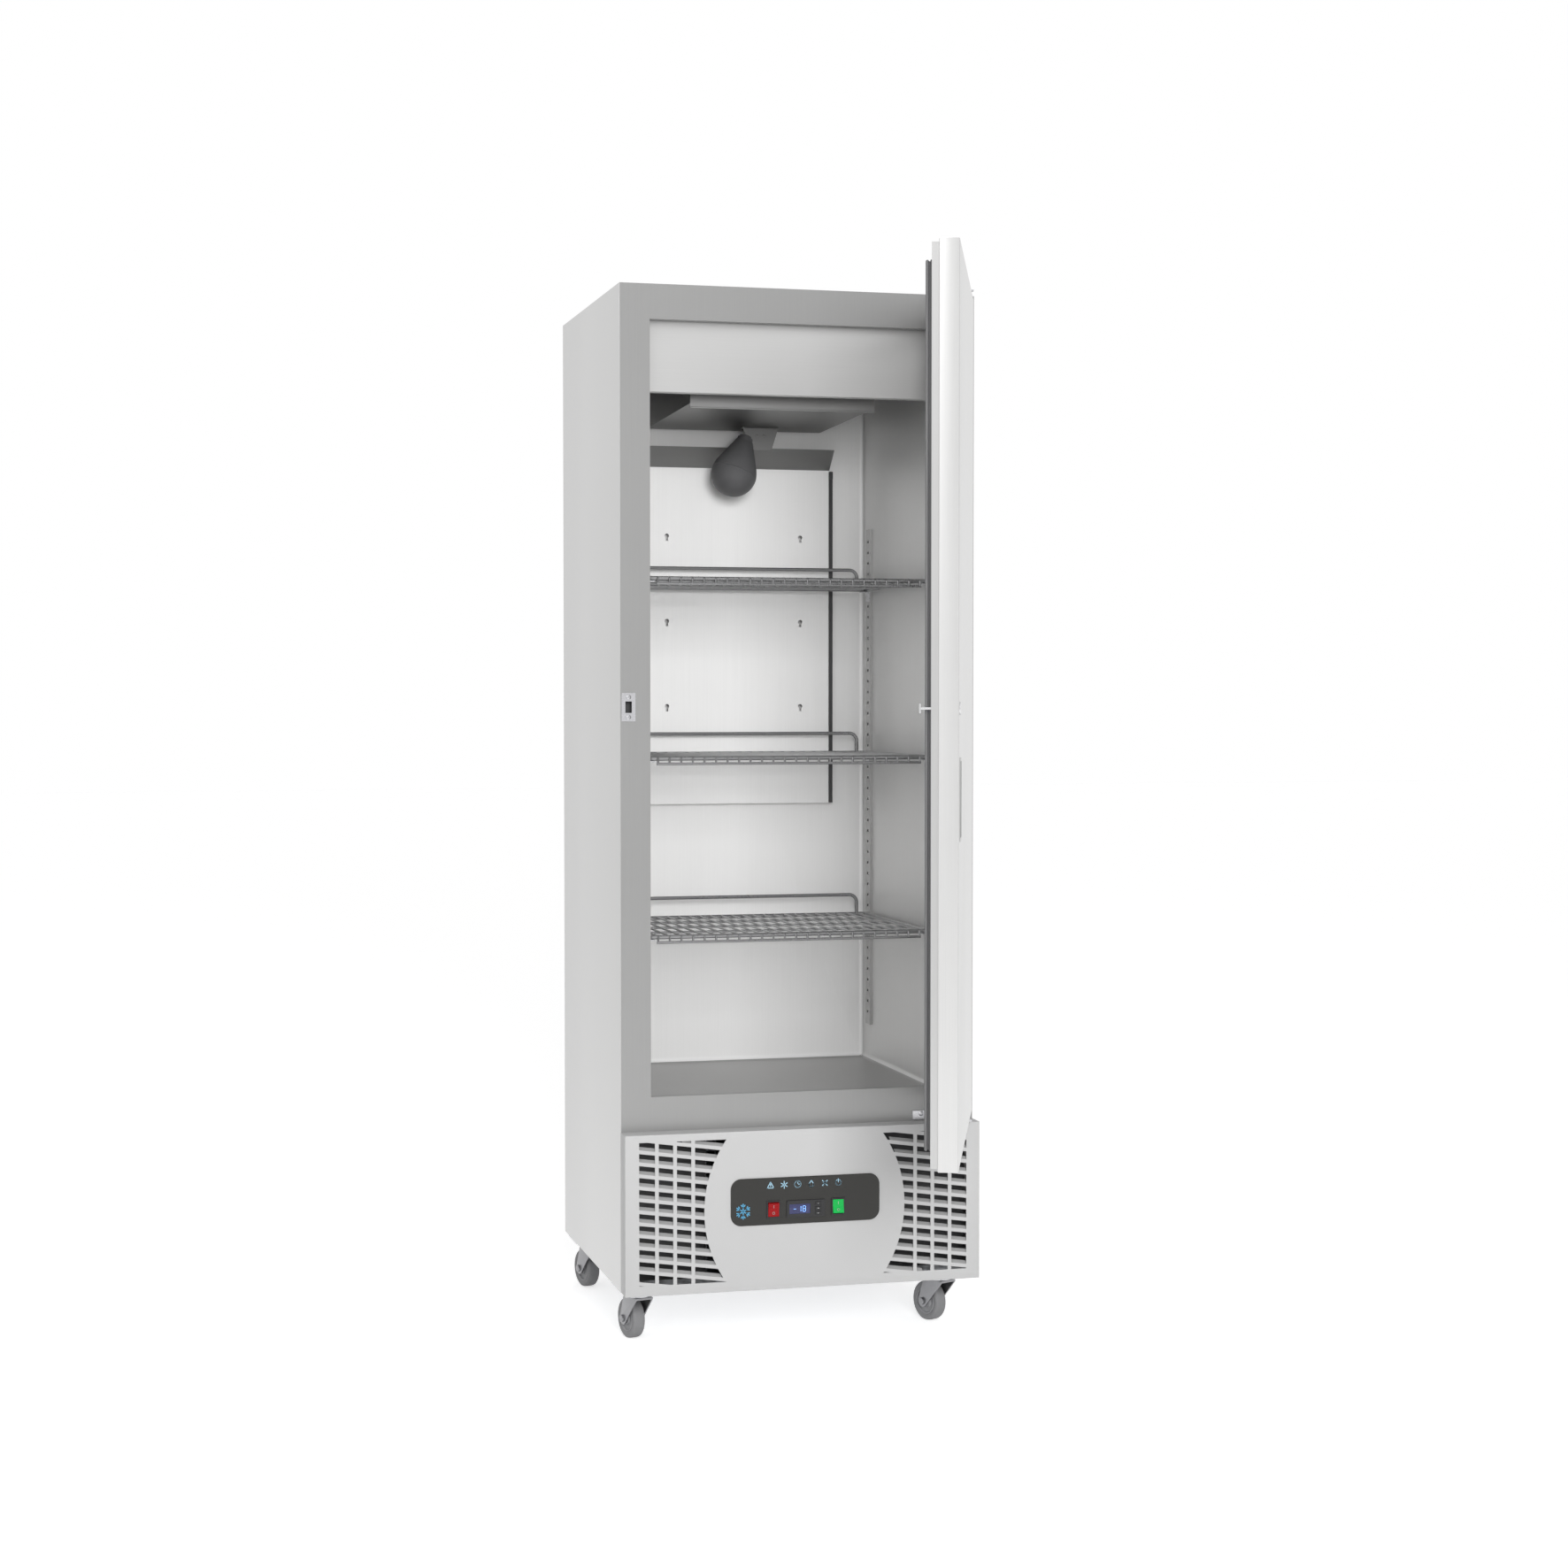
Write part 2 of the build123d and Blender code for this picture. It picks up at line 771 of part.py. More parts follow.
# Shelves: a rim with front-to-back wires on cross bars, a turned-down front and a rear rail
shelf_y = (front + shelf_front, front + shelf_back)
wire_span = 2 * (shelf_half_width - rim_radius - wire_radius)
wire_z = rim_radius - wire_radius - weld_depth
bar_z = -cross_bar_radius / 2
hem_y = shelf_y[0] - rim_radius
hem_half = shelf_half_width - clip_reach
with BuildPart() as shelf_wire:
    with BuildLine() as wire_line:
        FilletPolyline(
            (0, hem_y, -front_rod_drop),
            (0, hem_y, wire_z),
            (0, shelf_y[1], wire_z),
            radius=2 * wire_radius,
        )
    with BuildSketch(Plane(wire_line.line @ 0, z_dir=wire_line.line % 0)):
        Circle(wire_radius)
    sweep(path=wire_line.line)
with BuildPart() as shelf_grid:
    with BuildLine() as rim_line:
        FilletPolyline(
            (-shelf_half_width, shelf_y[0], 0),
            (shelf_half_width, shelf_y[0], 0),
            (shelf_half_width, shelf_y[1], 0),
            (-shelf_half_width, shelf_y[1], 0),
            radius=2 * rim_radius,
            close=True,
        )
    with BuildSketch(Plane(rim_line.line @ 0, z_dir=rim_line.line % 0)):
        Circle(rim_radius)
    sweep(path=rim_line.line)
    for bar in range(cross_bars):
        bar_y = shelf_y[0] + (bar + 1) * (shelf_back - shelf_front) / (cross_bars + 1)
        rod((-shelf_half_width, bar_y, bar_z), (shelf_half_width, bar_y, bar_z), cross_bar_radius)
    rod((-hem_half, hem_y, -front_rod_drop), (hem_half, hem_y, -front_rod_drop), front_rod_radius)
    with GridLocations(wire_span / shelf_wires, 1, shelf_wires, 1):
        add(shelf_wire.part)
with BuildPart() as shelf_rail:
    with BuildLine() as rail_line:
        FilletPolyline(
            (-rail_half_width, shelf_y[1], 0),
            (-rail_half_width, shelf_y[1], rail_rise),
            (rail_half_width, shelf_y[1], rail_rise),
            (rail_half_width, shelf_y[1], 0),
            radius=rail_bend,
        )
    with BuildSketch(Plane(rail_line.line @ 0, z_dir=rail_line.line % 0)):
        Circle(rail_radius)
    sweep(path=rail_line.line)
    rod((-shelf_half_width, shelf_y[1], 0), (shelf_half_width, shelf_y[1], 0), rim_radius, Mode.SUBTRACT)
for level, rise in shelf_heights.items():
    shelf_pieces = []
    for piece in (shelf_grid.part, shelf_rail.part):
        with BuildPart(Plane.XY.offset(room_floor + rise)) as placed:
            add(piece)
        shelf_pieces.append(placed.part)
    shelf = group(f"shelf_{level}", shelf_pieces)
    export_step(shelf, f"parts/shelf_{level}.step")

# Shelf clips: rear ones on the pilasters and front ones on the side walls
clips = []
clip_x = room_half - pilaster_depth
for rise in shelf_heights.values():
    ledge_z = room_floor + rise - rim_radius - part_gap
    for sign in (-1, 1):
        for wall_x, clip_y in (
            (clip_x, (pilaster_y[0] + seam, pilaster_y[0] + seam + rear_clip_depth)),
            (room_half, (shelf_y[0] - rim_radius, shelf_y[0] - rim_radius + front_clip_depth)),
        ):
            with BuildPart() as clip:
                block(
                    (sign * (shelf_half_width + rim_radius - clip_reach), sign * wall_x),
                    clip_y,
                    (ledge_z - clip_sheet, ledge_z),
                )
                block(
                    (sign * (wall_x - clip_sheet), sign * wall_x),
                    clip_y,
                    (ledge_z - clip_height, ledge_z),
                )
            clips.append(clip.part)
shelf_clips = group("shelf_clips", clips)
export_step(shelf_clips, "parts/shelf_clips.step")

# Strike plate on the left stile
with BuildPart() as strike_plate:
    block(
        (lock_x - strike_width / 2, lock_x + strike_width / 2),
        (front - strike_sheet, front),
        (lock_z - strike_height / 2, lock_z + strike_height / 2),
    )
    block(
        (lock_x - strike_slot_width / 2, lock_x + strike_slot_width / 2),
        (front - strike_sheet, front),
        (lock_z - strike_slot_height / 2, lock_z + strike_slot_height / 2),
        Mode.SUBTRACT,
    )
strike_plate.part.label = "strike_plate"
export_step(strike_plate.part, "parts/strike_plate.step")

# Hinge brackets: a plate on the roof and an angle on the bottom rail, each with its pin
bracket_x = (hinge_x + bracket_cover - bracket_width, hinge_x + bracket_cover)
bracket_y_span = (hinge_y - bracket_reach, frame_back + bracket_drop)
with BuildPart() as top_bracket:
    block(bracket_x, bracket_y_span, (roof, roof + roof_bracket_sheet))
    rod(
        (hinge_x, hinge_y, roof + roof_bracket_sheet),
        (hinge_x, hinge_y, door_bottom + door_height - hinge_pin_grip),
        hinge_pin_radius,
    )
low_plate_z = door_bottom - bracket_drop - bracket_sheet
with BuildPart() as bottom_bracket:
    block(bracket_x, (hinge_y - bracket_reach, front), (low_plate_z, low_plate_z + bracket_sheet))
    block(
        (bracket_x[0] - bracket_width / 2, bracket_x[1]),
        (front - bracket_sheet, front),
        (low_plate_z, door_bottom - 2 * seam),
    )
    rod(
        (hinge_x, hinge_y, low_plate_z),
        (hinge_x, hinge_y, door_bottom + hinge_pin_grip),
        hinge_pin_radius,
    )
hinge_brackets = group("hinge_brackets", [top_bracket.part, bottom_bracket.part])
export_step(hinge_brackets, "parts/hinge_brackets.step")

# Door, drawn from its hinge axis: X to the free edge, Y out of its outer face, Z up
door_plane = Plane(
    origin=(hinge_x, hinge_y, door_bottom),
    x_dir=(-cos(open_angle), -sin(open_angle), 0),
    z_dir=(0, 0, 1),
)
door_u = (-hinge_inset, door_far)
pan_v = (hinge_behind_face - door_pan_depth, hinge_behind_face)
inner_v = (pan_v[0] - door_inner_depth, pan_v[0])
lock_u = door_far - lock_from_edge
lock_w = lock_z - door_bottom
handle_u = door_far - handle_from_edge
handle_w = lock_w - handle_below_lock


def inset(span, amount):
    """A span made smaller by the same amount at both ends."""
    return (span[0] + amount, span[1] - amount)


door_w = (0, door_height)
handle_u_span = (handle_u - handle_width / 2, handle_u + handle_width / 2)
handle_w_span = (handle_w - handle_height / 2, handle_w + handle_height / 2)
with BuildPart(door_plane) as door_outer_pan:
    block(door_u, pan_v, door_w)
    block(
        inset(door_u, door_skin),
        (pan_v[0] + door_skin, pan_v[1] - door_skin),
        inset(door_w, door_skin),
        Mode.SUBTRACT,
    )
    lip = door_inner_inset + door_skin
    block(inset(door_u, lip), (pan_v[0], pan_v[0] + door_skin), inset(door_w, lip), Mode.SUBTRACT)
    block(handle_u_span, (pan_v[1] - door_skin, pan_v[1]), handle_w_span, Mode.SUBTRACT)
    rod((0, 0, 0), (0, 0, door_height), bush_radius, Mode.SUBTRACT)
    rod((lock_u, pan_v[0], lock_w), (lock_u, pan_v[1], lock_w), lock_barrel_radius, Mode.SUBTRACT)
door_outer_pan.part.label = "door_outer_pan"
export_step(door_outer_pan.part, "parts/door_outer_pan.step")

with BuildPart(door_plane) as door_insulation:
    block(
        inset(door_u, door_skin),
        (pan_v[0] + door_skin, pan_v[1] - door_skin),
        inset(door_w, door_skin),
    )
    block(inset(door_u, lip), (inner_v[0] + door_skin, pan_v[0] + door_skin), inset(door_w, lip))
    block(
        handle_u_span,
        (hinge_behind_face - handle_depth - handle_wall, pan_v[1]),
        handle_w_span,
        Mode.SUBTRACT,
    )
    for end_w, inward in ((0, 1), (door_height, -1)):
        rod((0, 0, end_w), (0, 0, end_w + inward * bush_length), bush_radius, Mode.SUBTRACT)
    rod((lock_u, inner_v[0], lock_w), (lock_u, pan_v[1], lock_w), lock_barrel_radius, Mode.SUBTRACT)
door_insulation.part.label = "door_insulation"
export_step(door_insulation.part, "parts/door_insulation.step")

with BuildPart(door_plane) as door_inner_panel:
    block(inset(door_u, door_inner_inset), inner_v, inset(door_w, door_inner_inset))
    block(
        inset(door_u, lip),
        (inner_v[0] + door_skin, inner_v[1]),
        inset(door_w, lip),
        Mode.SUBTRACT,
    )
    rod((lock_u, inner_v[0], lock_w), (lock_u, inner_v[1], lock_w), lock_barrel_radius, Mode.SUBTRACT)
door_inner_panel.part.label = "door_inner_panel"
export_step(door_inner_panel.part, "parts/door_inner_panel.step")

# Gasket: a ring with a foot, a narrower bellows and a flat sealing face
gasket_low = inner_v[0] - (gasket_gap - gasket_clearance)
with BuildPart(door_plane) as door_gasket:
    for start, end, narrow in gasket_steps:
        step_v = [inner_v[0] + share * (gasket_low - inner_v[0]) for share in (end, start)]
        outer_inset = gasket_inset + narrow
        inner_inset = gasket_inset + gasket_width - narrow
        block(inset(door_u, outer_inset), step_v, inset(door_w, outer_inset))
        block(inset(door_u, inner_inset), step_v, inset(door_w, inner_inset), Mode.SUBTRACT)
door_gasket.part.label = "door_gasket"
export_step(door_gasket.part, "parts/door_gasket.step")

with BuildPart(door_plane) as door_handle:
    cup_back = hinge_behind_face - handle_depth - handle_wall
    block(handle_u_span, (cup_back, pan_v[1]), handle_w_span)
    block(
        inset(handle_u_span, -handle_flange),
        (pan_v[1], pan_v[1] + handle_flange_proud),
        inset(handle_w_span, -handle_flange),
    )
    block(
        inset(handle_u_span, handle_wall),
        (cup_back + handle_wall, pan_v[1] + handle_flange_proud),
        inset(handle_w_span, handle_wall),
        Mode.SUBTRACT,
    )
door_handle.part.label = "door_handle"
export_step(door_handle.part, "parts/door_handle.step")

with BuildPart(door_plane) as lock_barrel:
    rod((lock_u, inner_v[0], lock_w), (lock_u, pan_v[1], lock_w), lock_barrel_radius)
    rod(
        (lock_u, pan_v[1], lock_w),
        (lock_u, pan_v[1] + lock_flange_sheet, lock_w),
        lock_flange_radius,
    )
    rod(
        (lock_u, inner_v[0], lock_w),
        (lock_u, pan_v[1] + lock_flange_sheet, lock_w),
        lock_plug_radius + running_gap,
        Mode.SUBTRACT,
    )
lock_barrel.part.label = "lock_barrel"
export_step(lock_barrel.part, "parts/lock_barrel.step")

# Lock cylinder: the plug, its keyway and the tongue that turns behind the strike plate
tongue_v = inner_v[0] - tongue_throw
with BuildPart(door_plane) as lock_cylinder:
    rod(
        (lock_u, tongue_v + tongue_sheet, lock_w),
        (lock_u, inner_v[0] - part_gap, lock_w),
        tongue_width / 2,
    )
    rod(
        (lock_u, inner_v[0] - part_gap, lock_w),
        (lock_u, pan_v[1] + lock_flange_sheet, lock_w),
        lock_plug_radius,
    )
    block(
        (lock_u - tongue_width / 2, lock_u + tongue_width / 2),
        (tongue_v, tongue_v + tongue_sheet),
        (lock_w - tongue_length / 2, lock_w + tongue_length / 2),
    )
    plug_face = pan_v[1] + lock_flange_sheet
    block(
        (lock_u - key_slot_width / 2, lock_u + key_slot_width / 2),
        (plug_face - key_slot_depth, plug_face),
        (lock_w - key_slot_length / 2, lock_w + key_slot_length / 2),
        Mode.SUBTRACT,
    )
lock_cylinder.part.label = "lock_cylinder"
export_step(lock_cylinder.part, "parts/lock_cylinder.step")

bushes = []
for end_w, outer_w, inward in ((0, part_gap - bracket_drop, 1), (door_height, door_height, -1)):
    with BuildPart(door_plane) as bush:
        rod((0, 0, outer_w), (0, 0, end_w + inward * bush_length), bush_radius)
        rod(
            (0, 0, outer_w),
            (0, 0, end_w + inward * bush_length),
            hinge_pin_radius + running_gap,
            Mode.SUBTRACT,
        )
    bushes.append(bush.part)
door_bushes = group("door_bushes", bushes)
export_step(door_bushes, "parts/door_bushes.step")

# Openings that the control panel's pieces pass through: middle x, middle z, width and height
rocker_round = hypot(rocker_cap_height / 2, rocker_cap_front)
rocker_body_height = 2 * (rocker_round + part_gap + rocker_body_wall)
controller_opening = (0, base + controller_middle, controller_body_width, controller_body_height)
rocker_openings = [
    (x, base + rocker_middle, rocker_body_width, rocker_body_height) for x in both(rocker_x)
]
panel_openings = [controller_opening, *rocker_openings]

# Plinth: a folded front with a slanted-slot grille at each end
plinth_height = machine_height + plinth_overlap
plinth_z = (base, base + plinth_height)
grille_outer = half_width - grille_side_gap
grille_top = plinth_height - grille_top_gap
grille_rows = int((plinth_height - grille_row_first) / grille_row_pitch) + 2
with BuildPart() as plinth_panel:
    block(both(half_width), (plinth_y, front), plinth_z)
    block(
        both(inside_half),
        (plinth_y + casing_sheet, front),
        (base + casing_sheet, plinth_z[1] - casing_sheet),
        Mode.SUBTRACT,
    )
    block(both(half_width), (plinth_y + plinth_flange, front), (base, base + casing_sheet), Mode.SUBTRACT)
    for side in (-1, 1):
        with BuildSketch(Plane.XZ.offset(-plinth_y)):
            grille_middle = base + (grille_top + grille_bottom) / 2
            with Locations((side * grille_outer / 2, grille_middle)):
                Rectangle(grille_outer, grille_top - grille_bottom)
            with Locations((-side * grille_arc_offset, base + grille_arc_height)):
                Circle(grille_arc_radius, mode=Mode.SUBTRACT)
            for column in range(grille_columns):
                bar_x = side * (grille_outer - grille_column_inset + column * grille_column_pitch)
                with Locations((bar_x, grille_middle)):
                    Rectangle(grille_bar, plinth_height, mode=Mode.SUBTRACT)
            for row in range(grille_rows):
                slat_x = side * grille_outer / 2
                slat_z = base + grille_row_first + row * grille_row_pitch
                with Locations((slat_x, slat_z - slat_x * grille_row_slope)):
                    Rectangle(
                        2 * grille_outer,
                        grille_slat,
                        rotation=-degrees(atan(grille_row_slope)),
                        mode=Mode.SUBTRACT,
                    )
        extrude(amount=-casing_sheet, mode=Mode.SUBTRACT)
    for x, z, width, height in panel_openings:
        block(
            (x - width / 2 - seam, x + width / 2 + seam),
            (plinth_y, plinth_y + casing_sheet),
            (z - height / 2 - seam, z + height / 2 + seam),
            Mode.SUBTRACT,
        )
plinth_panel.part.label = "plinth_panel"
export_step(plinth_panel.part, "parts/plinth_panel.step")

bezel_y = plinth_y - bezel_sheet
with BuildPart() as control_bezel:
    with BuildSketch(Plane.XZ.offset(-plinth_y)):
        with Locations((0, base + bezel_middle)):
            RectangleRounded(bezel_width, bezel_height, bezel_corner)
    extrude(amount=bezel_sheet)
    fillet(control_bezel.faces().sort_by(Axis.Y)[0].edges(), bezel_round)
    for x, z, width, height in panel_openings:
        block(
            (x - width / 2 - seam / 2, x + width / 2 + seam / 2),
            (bezel_y, plinth_y),
            (z - height / 2 - seam / 2, z + height / 2 + seam / 2),
            Mode.SUBTRACT,
        )
control_bezel.part.label = "control_bezel"
export_step(control_bezel.part, "parts/control_bezel.step")

# Controller with its display window and three keys
controller_y = bezel_y - controller_flange
controller_z = base + controller_middle
key_rows = [controller_z + (row - 1) * key_pitch for row in range(3)]
with BuildPart() as controller:
    with BuildSketch(Plane.XZ.offset(-bezel_y)):
        with Locations((0, controller_z)):
            RectangleRounded(controller_width, controller_height, controller_flange)
    extrude(amount=controller_flange)
    fillet(controller.faces().sort_by(Axis.Y)[0].edges(), controller_flange / 3)
    block(
        both(controller_body_width / 2),
        (bezel_y, bezel_y + controller_body_depth),
        (controller_z - controller_body_height / 2, controller_z + controller_body_height / 2),
    )
    block(
        (display_x - display_width / 2, display_x + display_width / 2),
        (controller_y, controller_y + display_recess),
        (controller_z - display_height / 2, controller_z + display_height / 2),
        Mode.SUBTRACT,
    )
    for row_z in key_rows:
        block(
            (key_x - key_width / 2 - part_gap, key_x + key_width / 2 + part_gap),
            (controller_y, controller_y + key_thickness - key_proud + 2 * key_travel),
            (row_z - key_height / 2 - part_gap, row_z + key_height / 2 + part_gap),
            Mode.SUBTRACT,
        )
controller.part.label = "controller"
export_step(controller.part, "parts/controller.step")

for number, row_z in enumerate(key_rows, start=1):
    with BuildPart() as key:
        block(
            (key_x - key_width / 2, key_x + key_width / 2),
            (controller_y - key_proud, controller_y - key_proud + key_thickness),
            (row_z - key_height / 2, row_z + key_height / 2),
        )
        fillet(key.faces().sort_by(Axis.Y)[0].edges(), key_proud / 2)
    key.part.label = f"key_{number}"
    export_step(key.part, f"parts/key_{number}.step")

# Rocker switches: a frame with its body, and a cap that tilts on two pins
rocker_z = base + rocker_middle
rocker_frame_y = bezel_y - rocker_frame_sheet
rocker_end_travel = rocker_cap_height / 2 * sin(radians(rocker_tilt))
rocker_pivot_y = rocker_frame_y + rocker_cap_front - rocker_end_travel - part_gap
cap_half = rocker_cap_width / 2
switches = []
for x in both(rocker_x):
    with BuildPart() as switch:
        block(
            (x - rocker_frame_width / 2, x + rocker_frame_width / 2),
            (rocker_frame_y, bezel_y),
            (rocker_z - rocker_frame_height / 2, rocker_z + rocker_frame_height / 2),
        )
        fillet(switch.faces().sort_by(Axis.Y)[0].edges(), rocker_frame_sheet / 4)
        block(
            (x - rocker_body_width / 2, x + rocker_body_width / 2),
            (bezel_y, bezel_y + rocker_body_depth),
            (rocker_z - rocker_body_height / 2, rocker_z + rocker_body_height / 2),
        )
        rod(
            (x - cap_half - part_gap, rocker_pivot_y, rocker_z),
            (x + cap_half + part_gap, rocker_pivot_y, rocker_z),
            rocker_round + part_gap,
            Mode.SUBTRACT,
        )
        block(
            (x - cap_half - part_gap, x + cap_half + part_gap),
            (rocker_frame_y, rocker_pivot_y),
            (rocker_z - rocker_round - part_gap, rocker_z + rocker_round + part_gap),
            Mode.SUBTRACT,
        )
        rod(
            (x - cap_half - rocker_pin_reach - part_gap, rocker_pivot_y, rocker_z),
            (x + cap_half + rocker_pin_reach + part_gap, rocker_pivot_y, rocker_z),
            rocker_pin_radius + running_gap,
            Mode.SUBTRACT,
        )
    switches.append(switch.part)
switch_bodies = group("switch_bodies", switches)
export_step(switch_bodies, "parts/switch_bodies.step")

for colour, sign, tilt in (("red", -1, rocker_tilt), ("green", 1, -rocker_tilt)):
    x = sign * rocker_x
    cap_plane = Plane(origin=(x, rocker_pivot_y, rocker_z), x_dir=(0, 1, 0), z_dir=(1, 0, 0))
    with BuildPart() as rocker:
        with BuildSketch(cap_plane.rotated((tilt, 0, 0)).offset(-cap_half)):
            Circle(rocker_round)
            with BuildLine():
                Polyline(
                    (-rocker_cap_front, rocker_cap_height / 2),
                    (-rocker_cap_waist, 0),
                    (-rocker_cap_front, -rocker_cap_height / 2),
                    (rocker_cap_back, -rocker_cap_height / 2),
                    (rocker_cap_back, rocker_cap_height / 2),
                    close=True,
                )
            make_face(mode=Mode.INTERSECT)
        extrude(amount=rocker_cap_width)
        rod(
            (x - cap_half - rocker_pin_reach, rocker_pivot_y, rocker_z),
            (x + cap_half + rocker_pin_reach, rocker_pivot_y, rocker_z),
            rocker_pin_radius,
        )
    rocker.part.label = f"rocker_{colour}"
    export_step(rocker.part, f"parts/rocker_{colour}.step")

# Base tray of the machine compartment
with BuildPart() as base_tray:
    block(both(inside_half), (front, back), (base, base + tray_flange))
    block(
        both(inside_half - tray_sheet),
        (front + tray_sheet, back - tray_sheet),
        (tray_top, base + tray_flange),
        Mode.SUBTRACT,
    )
base_tray.part.label = "base_tray"
export_step(base_tray.part, "parts/base_tray.step")

# Condenser with its fan shroud, motor and fan
condenser_y = (front + condenser_front, front + condenser_front + condenser_depth)
condenser_z = (tray_top + condenser_lift, tray_top + condenser_lift + condenser_height)
with BuildPart() as condenser:
    coil(condenser_half_width, condenser_y, condenser_z, condenser_rows, condenser_columns)
    for foot_x in both(condenser_half_width):
        foot = (foot_x, foot_x - (coil_fin_sheet if foot_x > 0 else -coil_fin_sheet))
        block(foot, condenser_y, (tray_top, condenser_z[0]))
condenser.part.label = "condenser"
export_step(condenser.part, "parts/condenser.step")

shroud_y = (condenser_y[1], condenser_y[1] + shroud_depth)
shroud_z = (tray_top, condenser_z[1] + shroud_margin)
fan_z = sum(condenser_z) / 2
with BuildPart() as condenser_shroud:
    block(both(shroud_half_width), shroud_y, shroud_z)
    block(
        both(shroud_half_width - shroud_sheet),
        (shroud_y[0], shroud_y[1] - shroud_sheet),
        inset(shroud_z, shroud_sheet),
        Mode.SUBTRACT,
    )
    rod((0, shroud_y[0], fan_z), (0, shroud_y[1], fan_z), shroud_hole_radius, Mode.SUBTRACT)
condenser_shroud.part.label = "condenser_shroud"
export_step(condenser_shroud.part, "parts/condenser_shroud.step")

with BuildPart() as condenser_fan_motor:
    with Locations(Plane((0, shroud_y[1] + motor_arm_sheet / 2, fan_z), z_dir=(0, 1, 0))):
        Box(2 * motor_arm, motor_arm_width, motor_arm_sheet, rotation=(0, 0, 45))
        Box(2 * motor_arm, motor_arm_width, motor_arm_sheet, rotation=(0, 0, -45))
    rod((0, shroud_y[1], fan_z), (0, shroud_y[1] + motor_depth, fan_z), motor_radius)
    fillet(condenser_fan_motor.edges().filter_by(GeomType.CIRCLE).sort_by(Axis.Y)[-1], motor_radius / 5)
    rod(
        (0, shroud_y[1] - shroud_sheet - condenser_fan_setback - condenser_hub_depth, fan_z),
        (0, shroud_y[1], fan_z),
        motor_shaft_radius,
    )
condenser_fan_motor.part.label = "condenser_fan_motor"
export_step(condenser_fan_motor.part, "parts/condenser_fan_motor.step")

with BuildPart() as condenser_fan:
    rotor(
        (0, shroud_y[1] - shroud_sheet - condenser_fan_setback - condenser_hub_depth / 2, fan_z),
        condenser_hub_radius,
        condenser_hub_depth,
        condenser_fan_radius,
        condenser_blades,
        condenser_blade_pitch,
        motor_shaft_radius + running_gap,
    )
condenser_fan.part.label = "condenser_fan"
export_step(condenser_fan.part, "parts/condenser_fan.step")

# Compressor on its foot plate, with a terminal box at its left
comp_y = back - compressor_from_back
comp_foot = tray_top + compressor_foot_height
comp_low = comp_foot + compressor_plate[2]
with BuildPart() as compressor:
    with Locations((compressor_x, comp_y, comp_low)):
        Cylinder(
            compressor_radius,
            compressor_height,
            align=(Align.CENTER, Align.CENTER, Align.MIN),
        )
    fillet(compressor.edges().filter_by(GeomType.CIRCLE).sort_by(Axis.Z)[-1], compressor_dome)
    with Locations((compressor_x, comp_y, comp_low + compressor_height / 2)):
        Cylinder(compressor_radius + casing_sheet, 3 * casing_sheet)
    with Locations((compressor_x, comp_y, comp_foot + compressor_plate[2] / 2)):
        Box(*compressor_plate)
    foot_grid = [size - 2 * compressor_foot_inset for size in compressor_plate[:2]]
    with Locations((compressor_x, comp_y, tray_top + compressor_foot_height / 2)):
        with GridLocations(*foot_grid, 2, 2):
            Cylinder(compressor_foot_radius, compressor_foot_height)
    block(
        (compressor_x - compressor_radius - terminal_box_reach, compressor_x),
        (comp_y - compressor_radius / 2, comp_y + compressor_radius / 2),
        (comp_low + compressor_height / 3, comp_low + compressor_height * 2 / 3),
    )
compressor.part.label = "compressor"
export_step(compressor.part, "parts/compressor.step")

# Pipes between the compressor and the condenser, and up into the foam
top_row_z = condenser_z[1] - condenser_height / condenser_rows / 2
low_row_z = condenser_z[0] + condenser_height / condenser_rows / 2
tube_y = condenser_y[0] + condenser_depth / condenser_columns / 2
tube_end = condenser_half_width + coil_overhang
pipe_side = tube_end + pipe_side_gap
stub_z = comp_low + compressor_height / 4
stub_x = compressor_x + compressor_radius
rise_y = comp_y + compressor_radius + 2 * pipe_bend
drier_y = (comp_y - drier_length - pipe_bend, comp_y - pipe_bend)
pipe_runs = [
    (
        discharge_radius,
        [
            (tube_end, tube_y, top_row_z),
            (pipe_side, tube_y, top_row_z),
            (pipe_side, comp_y, top_row_z),
            (pipe_side, comp_y, stub_z),
            (stub_x, comp_y, stub_z),
        ],
    ),
    (
        liquid_radius,
        [
            (tube_end, tube_y, low_row_z),
            (pipe_side, tube_y, low_row_z),
            (pipe_side, drier_y[0], low_row_z),
        ],
    ),
    (
        liquid_radius,
        [
            (pipe_side, drier_y[1], low_row_z),
            (pipe_side, comp_y + 2 * pipe_bend, low_row_z),
            (pipe_side, comp_y + 2 * pipe_bend, machine_top),
        ],
    ),
    (
        suction_radius,
        [
            (compressor_x, comp_y + compressor_radius, stub_z),
            (compressor_x, rise_y, stub_z),
            (compressor_x, rise_y, machine_top),
        ],
    ),
]
runs = []
for radius, points in pipe_runs:
    with BuildPart() as pipe:
        with BuildLine() as route:
            FilletPolyline(*points, radius=pipe_bend)
        with BuildSketch(Plane(route.line @ 0, z_dir=route.line % 0)):
            Circle(radius)
        sweep(path=route.line)
    runs.append(pipe.part)
with BuildPart() as filter_drier:
    rod((pipe_side, drier_y[0], low_row_z), (pipe_side, drier_y[1], low_row_z), drier_radius)
    fillet(filter_drier.edges().filter_by(GeomType.CIRCLE), drier_radius / 2)
pipework = group("pipework", [*runs, filter_drier.part])
export_step(pipework, "parts/pipework.step")

